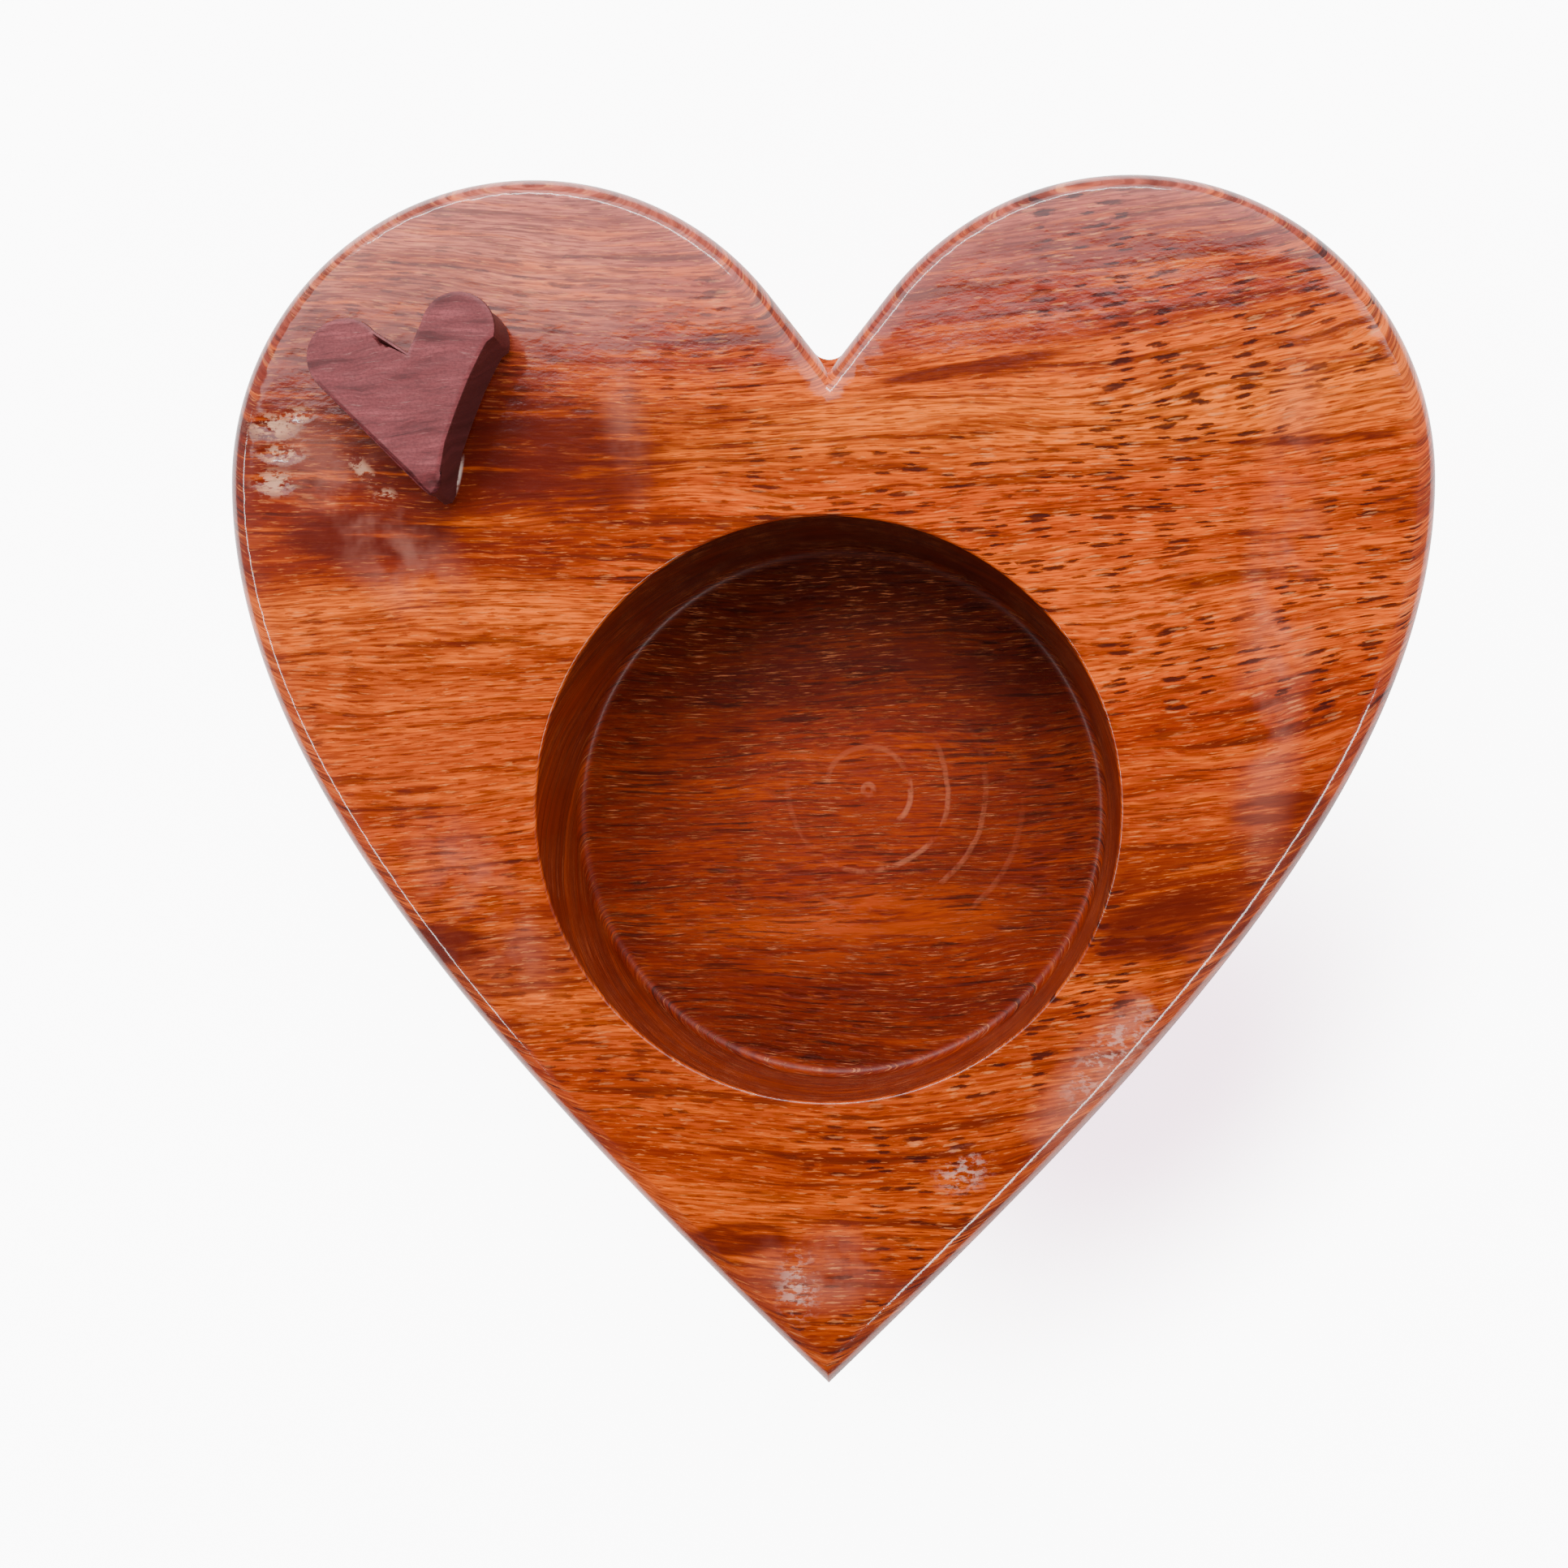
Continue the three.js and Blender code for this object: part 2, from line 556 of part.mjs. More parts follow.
// ---- Assembly -----------------------------------------------------------------------------------
const musicBox = new THREE.Group();
const movement = new THREE.Group();
movement.applyMatrix4(movementMatrix());
musicBox.add(movement);

function addTo(group, name, geometry, look) {
  const mesh = new THREE.Mesh(geometry, look);
  mesh.name = name;
  group.add(mesh);
  return mesh;
}

addTo(musicBox, 'case_body', caseBody(), caseWood);
addTo(musicBox, 'bottom_cover', bottomCover(), coverWood);
COVER_SCREWS.forEach(([x, y], index) => {
  const piece = addTo(musicBox, `cover_screw_${index + 1}`, screw(2.5, 1.2, 1.2, 9.5), brass);
  piece.position.set(x, y, COVER_BOTTOM + 1.3);
});
FEET.forEach(([x, y], index) => {
  addTo(musicBox, `foot_${index + 1}`, foot(), feltPad).position.set(x, y, 0);
});

const knob = addTo(musicBox, 'winding_knob', windingKnob(), knobWood);
knob.position.set(KNOB_X, KNOB_Y, KNOB_BOTTOM);
knob.rotation.z = KNOB_TURN;
addTo(musicBox, 'knob_insert', knobInsert(), brass).position.set(KNOB_X, KNOB_Y, KNOB_BOTTOM);
addTo(musicBox, 'arbor_extension', arborExtension(), steel).position.set(KNOB_X, KNOB_Y, 0);
addTo(musicBox, 'arbor_bushing', round(BUSHING_RADIUS, CEILING, CASE_TOP, 24, EXTENSION_RADIUS + GAP),
  brass).position.set(KNOB_X, KNOB_Y, 0);

addTo(movement, 'bedplate', bedplate(), castMetal);
addTo(movement, 'winding_arbor', windingArbor(), steel);
addTo(movement, 'wrap_spring', wrapSpring(), springSteel);
addTo(movement, 'great_wheel', greatWheel(), brass);
addTo(movement, 'spring_barrel', springBarrel(), brass);
addTo(movement, 'barrel_cover', round(BARREL_RADIUS, BARREL_TOP - 0.6, BARREL_TOP, 32, 2.2), brass);
addTo(movement, 'mainspring', mainspring(), springSteel);
addTo(movement, 'pin_cylinder', pinCylinder(), brass);
addTo(movement, 'cylinder_arbor', rodAlongU(0.9, 8.6, 35.2), steel);
addTo(movement, 'cylinder_pinion',
  alongU(gear(DRIVE_PINION_TEETH, DRIVE_MODULE, -Math.PI / 2, 1, 1.9)).translate(CROWN_RADIUS, 0, 0),
  brass);
addTo(movement, 'cylinder_wheel',
  alongU(gear(CYLINDER_WHEEL_TEETH, TRAIN_MODULE, Math.PI, 1, 1.2)).translate(TRAIN_U, 0, 0), brass);
addTo(movement, 'arbor_bracket', arborBracket(), castMetal);
addTo(movement, 'comb', comb(), steel);
addTo(movement, 'governor_bracket', governorBracket(), castMetal);
addTo(movement, 'governor_arbor', rodAlongU(0.5, 31.7, 39.1, GOVERNOR_V), steel);
addTo(movement, 'governor_pinion',
  alongU(gear(GOVERNOR_PINION_TEETH, TRAIN_MODULE, Math.PI, 0.6, 1.2), GOVERNOR_V).translate(TRAIN_U, 0, 0),
  steel);
addTo(movement, 'worm_wheel',
  alongU(gear(WORM_WHEEL_TEETH, WORM_MODULE, Math.PI, 0.6, 1.4, 0.5), GOVERNOR_V)
    .translate(WORM_WHEEL_U, 0, 0), brass);
addTo(movement, 'worm_shaft', wormShaft(), steel);
addTo(movement, 'fan', fan(), fanPlastic);
MOVEMENT_SCREWS.forEach(([u, v], index) => {
  addTo(movement, `movement_screw_${index + 1}`, screwInto(u, v, PLATE + GAP, 2.2, 1.4, 1.2, 7.8), steel);
});
COMB_SCREWS_U.forEach((u, index) => {
  const seatTop = COMB_W + COMB_THICKNESS + GAP;
  addTo(movement, `comb_screw_${index + 1}`, screwInto(u, COMB_SCREW_V, seatTop, 2, 1.2, 1.2, 6), steel);
});
BRACKET_SCREWS.forEach(([u, v], index) => {
  addTo(movement, `bracket_screw_${index + 1}`, screwInto(u, v, 3.5, 1.3, 0.9, 0.8, 2.6), steel);
});

export default musicBox;
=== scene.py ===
"""Looks of the wind-up music box: a lacquered hardwood heart with a round well and a small heart knob.

Lengths are in millimetres and become metres where an object is made. Only the floor and the faces of the
lights are given in metres.
"""

import json
import math
import random

import bmesh
import bpy
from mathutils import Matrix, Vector, noise
from mathutils.geometry import delaunay_2d_cdt


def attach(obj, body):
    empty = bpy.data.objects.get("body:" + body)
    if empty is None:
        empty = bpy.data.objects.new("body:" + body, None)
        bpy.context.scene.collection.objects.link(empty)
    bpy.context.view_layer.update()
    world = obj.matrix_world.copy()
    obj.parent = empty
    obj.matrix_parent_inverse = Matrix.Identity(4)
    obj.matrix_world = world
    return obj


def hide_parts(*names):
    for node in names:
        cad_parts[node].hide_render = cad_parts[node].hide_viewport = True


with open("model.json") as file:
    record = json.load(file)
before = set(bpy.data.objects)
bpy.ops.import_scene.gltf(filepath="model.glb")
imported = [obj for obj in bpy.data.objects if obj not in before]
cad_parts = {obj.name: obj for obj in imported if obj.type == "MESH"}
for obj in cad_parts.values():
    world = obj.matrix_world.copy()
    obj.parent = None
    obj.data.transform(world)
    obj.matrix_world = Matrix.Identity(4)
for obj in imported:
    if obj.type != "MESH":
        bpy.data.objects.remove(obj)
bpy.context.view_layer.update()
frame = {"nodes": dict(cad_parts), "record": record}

MM = 0.001
TOP = 48.0
BOTTOM = 2.5
TIP_Y = -62.5
FLANK = ((0.0, TIP_Y), (35.5, -28.0), (62.5, 1.0), (62.5, 31.0))   # control points of the right flank
LOBE_RADIUS = 31.5
LOBE_CENTRE = 31.0
NOTCH = math.radians(38.0)
NOTCH_FILLET = 2.0
EDGE = 2.4
EDGE_START = math.radians(17.0)      # slope of the rounded edge where it leaves the flat top
EDGE_STEPS = 10
EDGE_SUPPORT = 0.15                  # a ring this far below the rounded edge keeps its shading crisp
SIDE_RING = 24.0
BOTTOM_EDGE = 0.8
WELL_CENTRE = (0.0, -3.0)
WELL_RADIUS = 30.0
WELL_DEPTH = 16.5
WELL_FILLET = 1.2
WELL_SEGMENTS = 240
FLOOR_WOOD = 4.0                     # wood left between the well and the movement
RIM = 0.35
WALL = 5.0
CEILING = TOP - WELL_DEPTH - FLOOR_WOOD
REBATE_WALL = 2.8
REBATE_TOP = 5.9
POST_TOP = 16.4
POST_RADIUS = 4.4
POST_SEGMENTS = 32
SCREW_HOLE = 1.5
COVER_SCREWS = ((0.0, -49.5), (-50.5, 11.0), (50.5, 11.0), (-13.5, 48.5), (13.5, 48.5))
ARBOR_HOLE = 3.9
ARBOR_SEGMENTS = 48

# Chips in the top beside the left edge: centre x, centre y, half width, half height.
CHIPS = ((-57.2, 36.4, 2.6, 1.3), (-56.4, 33.6, 2.4, 1.0), (-57.0, 30.6, 2.2, 1.2), (-54.6, 37.6, 1.6, 0.8))
CHIP_DEPTH = 0.28
NET_STEP = 2.0
NET_CLEARANCE = 0.7
NET_SEED = 11

CUTTER_CENTRE = (3.0, -0.5)          # middle of the spiral in the well's floor
CUTTER_PITCH = 4.4
CUTTER_HEIGHT = 0.02

KNOB_CENTRE = (-41.2, 37.8)
KNOB_TURN = math.radians(15.0)
KNOB_BASE = 48.4
KNOB_TOP = 53.4
KNOB_EDGE = 0.3
KNOB_WAIST = 0.22
KNOB_FOOT = 0.15
KNOB_NET_STEP = 0.3

CAMERA_AT = (15.3, -6.4, TOP + 150.0)
CAMERA_TILT = math.radians(1.15)
CAMERA_LENS = 33.73
CAMERA_SHIFT = (-0.104, 0.037)
PAPER_GLOW = 8.0
STUDIO_GLOW = 0.55
STUDIO_TINT = (1.0, 0.96, 0.98, 1.0)
WHITE = (1.0, 1.0, 1.0)
LIGHTS = (
    ("window", (-60, 510, 560), (1.0, 0.58), 3.2, (1.0, 0.93, 0.97)),
    ("strip_top", (-140, 560, 520), (0.60, 0.05), 34.0, WHITE),
    ("strip_left", (-560, -60, 500), (0.60, 0.05), 28.0, WHITE),
    ("strip_right", (440, -340, 500), (0.60, 0.06), 30.0, WHITE),
)


# ---- Outlines -----------------------------------------------------------------------------------
def resample(points, count):
    """The polyline as count points at equal steps along its length."""
    reach = [0.0]
    for a, b in zip(points, points[1:]):
        reach.append(reach[-1] + math.dist(a, b))
    result = []
    step = 0
    for index in range(count):
        want = reach[-1] * index / (count - 1)
        while step < len(points) - 2 and reach[step + 1] < want:
            step += 1
        span = reach[step + 1] - reach[step]
        t = (want - reach[step]) / span if span else 0.0
        a, b = points[step], points[step + 1]
        result.append((a[0] + (b[0] - a[0]) * t, a[1] + (b[1] - a[1]) * t))
    return result


def flank_points(inset, count):
    """The flank from the middle line to the lobe's widest point, moved inwards by inset."""
    dense = []
    for index in range(401):
        t = index / 400
        u = 1 - t
        weights = (u ** 3, 3 * u * u * t, 3 * u * t * t, t ** 3)
        slopes = (-3 * u * u, 3 * u * u - 6 * u * t, 6 * u * t - 3 * t * t, 3 * t * t)
        x, y = (sum(w * p[axis] for w, p in zip(weights, FLANK)) for axis in (0, 1))
        dx, dy = (sum(w * p[axis] for w, p in zip(slopes, FLANK)) for axis in (0, 1))
        length = math.hypot(dx, dy)
        dense.append((x - inset * dy / length, y + inset * dx / length))
    first = next(index for index, point in enumerate(dense) if point[0] > 0)
    if first > 0:
        a, b = dense[first - 1], dense[first]
        t = -a[0] / (b[0] - a[0])
        dense = [(0.0, a[1] + (b[1] - a[1]) * t)] + dense[first:]
    else:
        dense[0] = (0.0, dense[0][1])
    return resample(dense, count)


def notch_tip(inset=0.0):
    """Height on the middle line where the two straight sides of the notch meet."""
    radius = LOBE_RADIUS - inset
    end = math.pi - NOTCH
    x = LOBE_CENTRE + radius * math.cos(end)
    y = LOBE_CENTRE + radius * math.sin(end)
    return y - x / math.tan(NOTCH)


def case_outline(inset=0.0, filleted=False):
    """The closed heart outline, anticlockwise from the tip, always with the same number of points."""
    radius = LOBE_RADIUS - inset
    end = math.pi - NOTCH
    right = flank_points(inset, 110)
    for index in range(1, 91):
        angle = end * index / 90
        right.append((LOBE_CENTRE + radius * math.cos(angle), LOBE_CENTRE + radius * math.sin(angle)))
    x0, y0 = right[-1]
    low = notch_tip(inset)
    centre = notch_tip() + NOTCH_FILLET / math.sin(NOTCH)
    for index in range(1, 25):
        x = x0 * (1 - index / 24)
        y = low + (y0 - low) * (1 - index / 24)
        if filleted and x < NOTCH_FILLET * math.cos(NOTCH):
            y = centre - math.sqrt(NOTCH_FILLET ** 2 - x * x)
        right.append((x, y))
    return right + [(-x, y) for x, y in reversed(right[1:-1])]


def circle(radius, segments=WELL_SEGMENTS, centre=WELL_CENTRE):
    steps = (2 * math.pi * index / segments for index in range(segments))
    return [(centre[0] + radius * math.cos(a), centre[1] + radius * math.sin(a)) for a in steps]


def arc(centre, radius, first, last, steps=20):
    angles = (math.radians(first + (last - first) * step / steps) for step in range(steps + 1))
    return [(centre[0] + radius * math.cos(a), centre[1] + radius * math.sin(a)) for a in angles]


def knob_outline(inset=0.0):
    """The hand-cut small heart in its own frame, anticlockwise: its right flank starts with a step."""
    right_flank = [(9.1, 3.1), (8.3, 2.3), (6.4, 0.1), (4.4, -2.6), (2.5, -5.4), (1.3, -8.0)]
    tip = [(0.9, -9.2), (0.3, -9.9), (-0.5, -9.9), (-1.1, -9.0)]
    clockwise = arc((-5.0, 5.5), 3.9, 213, 25) + [(1.15, 4.3)] + arc((6.6, 5.2), 3.75, 153, -28)
    return offset_loop(list(reversed(clockwise + right_flank + tip)), inset)


def offset_loop(loop, inset):
    """An anticlockwise loop moved inwards, corner by corner."""
    moved = []
    count = len(loop)
    for index, (x, y) in enumerate(loop):
        ax, ay = x - loop[index - 1][0], y - loop[index - 1][1]
        bx, by = loop[(index + 1) % count][0] - x, loop[(index + 1) % count][1] - y
        la, lb = math.hypot(ax, ay), math.hypot(bx, by)
        nx, ny = -ay / la - by / lb, ax / la + bx / lb
        scale = 2 * inset / (nx * nx + ny * ny)
        moved.append((x + nx * scale, y + ny * scale))
    return moved


# ---- Meshes -------------------------------------------------------------------------------------
class Shell:
    """Vertices and faces collected ring by ring."""

    def __init__(self):
        self.points = []
        self.faces = []
        self.marks = []

    def ring(self, loop, z):
        start = len(self.points)
        heights = z if isinstance(z, list) else [z] * len(loop)
        self.points += [(x, y, height) for (x, y), height in zip(loop, heights)]
        return range(start, start + len(loop))

    def wall(self, lower, upper, mark=0):
        count = len(lower)
        for index in range(count):
            after = (index + 1) % count
            self.faces.append((lower[index], lower[after], upper[after], upper[index]))
            self.marks.append(mark)

    def face(self, corners, mark=0):
        self.faces.append(tuple(corners))
        self.marks.append(mark)

    def make(self, name, materials, sharp=28.0):
        mesh = bpy.data.meshes.new(name)
        mesh.from_pydata([(x * MM, y * MM, z * MM) for x, y, z in self.points], [], self.faces)
        for material in materials:
            mesh.materials.append(material)
        mesh.polygons.foreach_set("material_index", self.marks)
        mesh.polygons.foreach_set("use_smooth", [True] * len(self.faces))
        mesh.validate()
        obj = bpy.data.objects.new(name, mesh)
        bpy.context.collection.objects.link(obj)
        merge(obj)
        mesh.set_sharp_from_angle(angle=math.radians(sharp))
        normals = obj.modifiers.new("normals", "WEIGHTED_NORMAL")
        normals.keep_sharp = True
        return obj


def merge(obj):
    """Joins vertices that fall together and drops the faces that vanish."""
    work = bmesh.new()
    work.from_mesh(obj.data)
    bmesh.ops.remove_doubles(work, verts=work.verts, dist=0.002 * MM)
    bmesh.ops.dissolve_degenerate(work, edges=work.edges, dist=0.001 * MM)
    bmesh.ops.recalc_face_normals(work, faces=work.faces)
    work.to_mesh(obj.data)
    work.free()


def top_height(x, y):
    """The hand-sanded top: nearly flat, with a few shallow chips beside the left edge."""
    height = TOP + 0.035 * noise.noise(Vector((x * 0.035, y * 0.05, 3.1)))
    for cx, cy, rx, ry in CHIPS:
        reach = math.hypot((x - cx) / rx, (y - cy) / ry)
        if reach < 1:
            rough = 0.6 + 0.6 * noise.noise(Vector((x * 1.7, y * 2.6, 0.4)))
            height -= CHIP_DEPTH * rough * (1 - reach * reach)
    return height


def fill_top(shell, loops, ids, extra, height):
    """Fills the surface inside the first loop and outside the others with a net of triangles."""
    points = [point for loop in loops for point in loop] + extra
    known = [index for ring in ids for index in ring]
    edges = []
    start = 0
    for loop in loops:
        edges += [(start + (index - 1) % len(loop), start + index) for index in range(len(loop))]
        start += len(loop)
    made, _, faces, origins, _, _ = delaunay_2d_cdt([Vector(p) for p in points], edges, [], 0, 1e-5)
    place = {}
    for index, source in enumerate(origins):
        if source and source[0] < len(known):
            place[index] = known[source[0]]
        else:
            place[index] = len(shell.points)
            shell.points.append((made[index][0], made[index][1], height(*made[index])))
    for corners in faces:
        middle = [sum(made[c][axis] for c in corners) / len(corners) for axis in (0, 1)]
        if inside(middle, loops[0]) and not any(inside(middle, hole) for hole in loops[1:]):
            shell.face([place[c] for c in corners])


def scattered(spacing, reach, keep):
    """A slightly uneven grid of points that pass the keep test."""
    rng = random.Random(NET_SEED)
    rows = int(2 * reach / spacing)
    result = []
    for row in range(rows + 1):
        for column in range(rows + 1):
            x = -reach + spacing * (column + 0.5 * (row % 2)) + rng.uniform(-0.1, 0.1) * spacing
            y = -reach + spacing * row + rng.uniform(-0.1, 0.1) * spacing
            if keep(x, y):
                result.append((x, y))
    return result


def case_top_points():
    """Net points of the top, clear of the edge, the well and the arbor's hole; closer at the chips."""
    limit = case_outline(EDGE + NET_CLEARANCE)
    well_clear = WELL_RADIUS + RIM + NET_CLEARANCE
    arbor_clear = ARBOR_HOLE + NET_CLEARANCE

    def on_top(x, y):
        clear = math.dist((x, y), WELL_CENTRE) > well_clear and math.dist((x, y), KNOB_CENTRE) > arbor_clear
        return clear and inside((x, y), limit)

    points = scattered(NET_STEP, 63.0, on_top)
    for cx, cy, rx, ry in CHIPS:
        for row in range(-6, 7):
            for column in range(-6, 7):
                point = (cx + rx * column / 5.5, cy + ry * row / 5.5)
                if inside(point, limit):
                    points.append(point)
    return points


def inside(point, loop):
    """True if the point is inside the closed loop."""
    x, y = point
    hit = False
    for (ax, ay), (bx, by) in zip(loop, loop[1:] + loop[:1]):
        if (ay > y) != (by > y) and x < ax + (y - ay) * (bx - ax) / (by - ay):
            hit = not hit
    return hit


def case_edge(shell):
    """The outside from the underside's chamfer up to the flat top. Returns the first and last ring."""
    rings = [shell.ring(case_outline(BOTTOM_EDGE, True), BOTTOM)]
    for z in (BOTTOM + BOTTOM_EDGE, SIDE_RING, TOP - EDGE - EDGE_SUPPORT, TOP - EDGE):
        rings.append(shell.ring(case_outline(0, True), z))
    turn = math.pi / 2 - EDGE_START
    for step in range(EDGE_STEPS):
        angle = turn * step / (EDGE_STEPS - 1)
        inset = EDGE * (1 - math.cos(angle)) / (1 - math.cos(turn))
        rise = EDGE * math.sin(angle) / math.sin(turn)
        rings.append(shell.ring(case_outline(inset), TOP - EDGE + rise))
    for lower, upper in zip(rings, rings[1:]):
        shell.wall(lower, upper)
    return rings[0], rings[-1]


def case_well(shell):
    """The well from its eased rim down to the middle of the floor. Returns the rim's outer ring."""
    floor = TOP - WELL_DEPTH
    rings = []
    for step in range(4):
        angle = math.pi / 2 * step / 3
        radius = WELL_RADIUS + RIM * (1 - math.sin(angle))
        rings.append(shell.ring(circle(radius), TOP - RIM * (1 - math.cos(angle))))
    for z in (TOP - 5, TOP - 10, floor + WELL_FILLET + 0.1):
        rings.append(shell.ring(circle(WELL_RADIUS), z))
    for step in range(6):
        angle = math.pi / 2 * step / 5
        radius = WELL_RADIUS - WELL_FILLET * (1 - math.cos(angle))
        rings.append(shell.ring(circle(radius), floor + WELL_FILLET * (1 - math.sin(angle))))
    radius = WELL_RADIUS - WELL_FILLET
    while radius > 1.2:
        radius -= 0.9
        loop = circle(radius)
        rings.append(shell.ring(loop, [floor + tool_mark(x, y) for x, y in loop]))
    for index, (outer, inner) in enumerate(zip(rings, rings[1:])):
        shell.wall(inner, outer, 0 if index < 3 else 1)
    shell.face(list(rings[-1]), 1)
    return rings[0]


def case_hollow(shell, first, hole):
    """The underside: a rebate for the cover, the movement's hollow and the posts for the screws."""
    rings = [first]
    for inset, z in ((REBATE_WALL, BOTTOM), (REBATE_WALL, REBATE_TOP), (WALL, REBATE_TOP), (WALL, CEILING)):
        rings.append(shell.ring(case_outline(inset), z))
    for lower, upper in zip(rings, rings[1:]):
        shell.wall(upper, lower)
    loop = circle(ARBOR_HOLE, ARBOR_SEGMENTS, KNOB_CENTRE)
    low_hole = shell.ring(loop, CEILING)
    shell.wall(low_hole, hole)
    fill_top(shell, [case_outline(WALL), loop], [rings[-1], low_hole], [], lambda x, y: CEILING)
    for centre in COVER_SCREWS:
        profile = ((SCREW_HOLE, POST_TOP - 1), (SCREW_HOLE, REBATE_TOP), (POST_RADIUS, REBATE_TOP),
                   (POST_RADIUS, POST_TOP))
        post = [shell.ring(circle(radius, POST_SEGMENTS, centre), z) for radius, z in profile]
        for lower, upper in zip(post, post[1:]):
            shell.wall(lower, upper)
        shell.face(list(post[0]))
        shell.face(list(reversed(post[-1])))


def build_case(outside, well):
    shell = Shell()
    first, last = case_edge(shell)
    rim = case_well(shell)
    hole_loop = circle(ARBOR_HOLE, ARBOR_SEGMENTS, KNOB_CENTRE)
    hole = shell.ring(hole_loop, TOP)
    loops = [case_outline(EDGE), circle(WELL_RADIUS + RIM), hole_loop]
    fill_top(shell, loops, [last, rim, hole], case_top_points(), top_height)
    case_hollow(shell, first, hole)
    return shell.make("case_wood_heart", [outside, well], 40.0)


def tool_mark(x, y):
    """Height of the faint spiral that the cutter left in the well's floor."""
    dx, dy = x - CUTTER_CENTRE[0], y - CUTTER_CENTRE[1]
    reach = math.hypot(dx, dy)
    turn = math.atan2(dy, dx) / (2 * math.pi)
    return CUTTER_HEIGHT * math.cos(2 * math.pi * (reach / CUTTER_PITCH - turn)) * math.exp(-reach / 16)


def knob_height(x, y):
    """The knob's top: almost flat, broken away at the tip and gouged beside its notch."""
    height = KNOB_TOP + 0.03 * noise.noise(Vector((x * 0.5, y * 1.2, 7.0)))
    height -= 1.3 * max(0.0, min(1.0, (-8.0 - y) / 1.6)) * (0.8 + 0.5 * noise.noise(Vector((x, y, 2.0))))
    along, off = (x + 0.7) * 0.77 - (y - 5.9) * 0.64, (x + 0.7) * 0.64 + (y - 5.9) * 0.77
    height -= 1.1 * max(0.0, 1 - (along / 1.1) ** 2 - (off / 0.42) ** 2)
    return height


def build_knob(material):
    shell = Shell()
    half = (KNOB_BASE + KNOB_TOP) / 2
    rings = []
    profile = ((KNOB_FOOT, KNOB_BASE), (0, KNOB_BASE + 0.25), (KNOB_WAIST, half), (0, KNOB_TOP - KNOB_EDGE))
    for inset, z in profile:
        rings.append(shell.ring(knob_outline(inset), z))
    for inset in (KNOB_EDGE * 0.3, KNOB_EDGE):
        loop = knob_outline(inset)
        drop = KNOB_EDGE * 0.3 if inset < KNOB_EDGE else 0
        rings.append(shell.ring(loop, [knob_height(x, y) - drop for x, y in loop]))
    for lower, upper in zip(rings, rings[1:]):
        shell.wall(lower, upper)
    loop = knob_outline(KNOB_EDGE)
    limit = knob_outline(KNOB_EDGE + 0.15)
    extra = scattered(KNOB_NET_STEP, 11.0, lambda x, y: inside((x, y), limit))
    fill_top(shell, [loop], [rings[-1]], extra, knob_height)
    shell.face(list(reversed(rings[0])))
    shell.points = [place_knob(x, y) + (z,) for x, y, z in shell.points]
    return shell.make("knob_wood_heart", [material], 40.0)


def place_knob(x, y):
    c, s = math.cos(KNOB_TURN), math.sin(KNOB_TURN)
    return KNOB_CENTRE[0] + x * c - y * s, KNOB_CENTRE[1] + x * s + y * c


# ---- Materials ----------------------------------------------------------------------------------
def srgb(red, green, blue):
    """A colour given in 0 to 255 display values, as linear RGBA."""
    def linear(value):
        value /= 255
        return value / 12.92 if value <= 0.04045 else ((value + 0.055) / 1.055) ** 2.4
    return linear(red), linear(green), linear(blue), 1.0


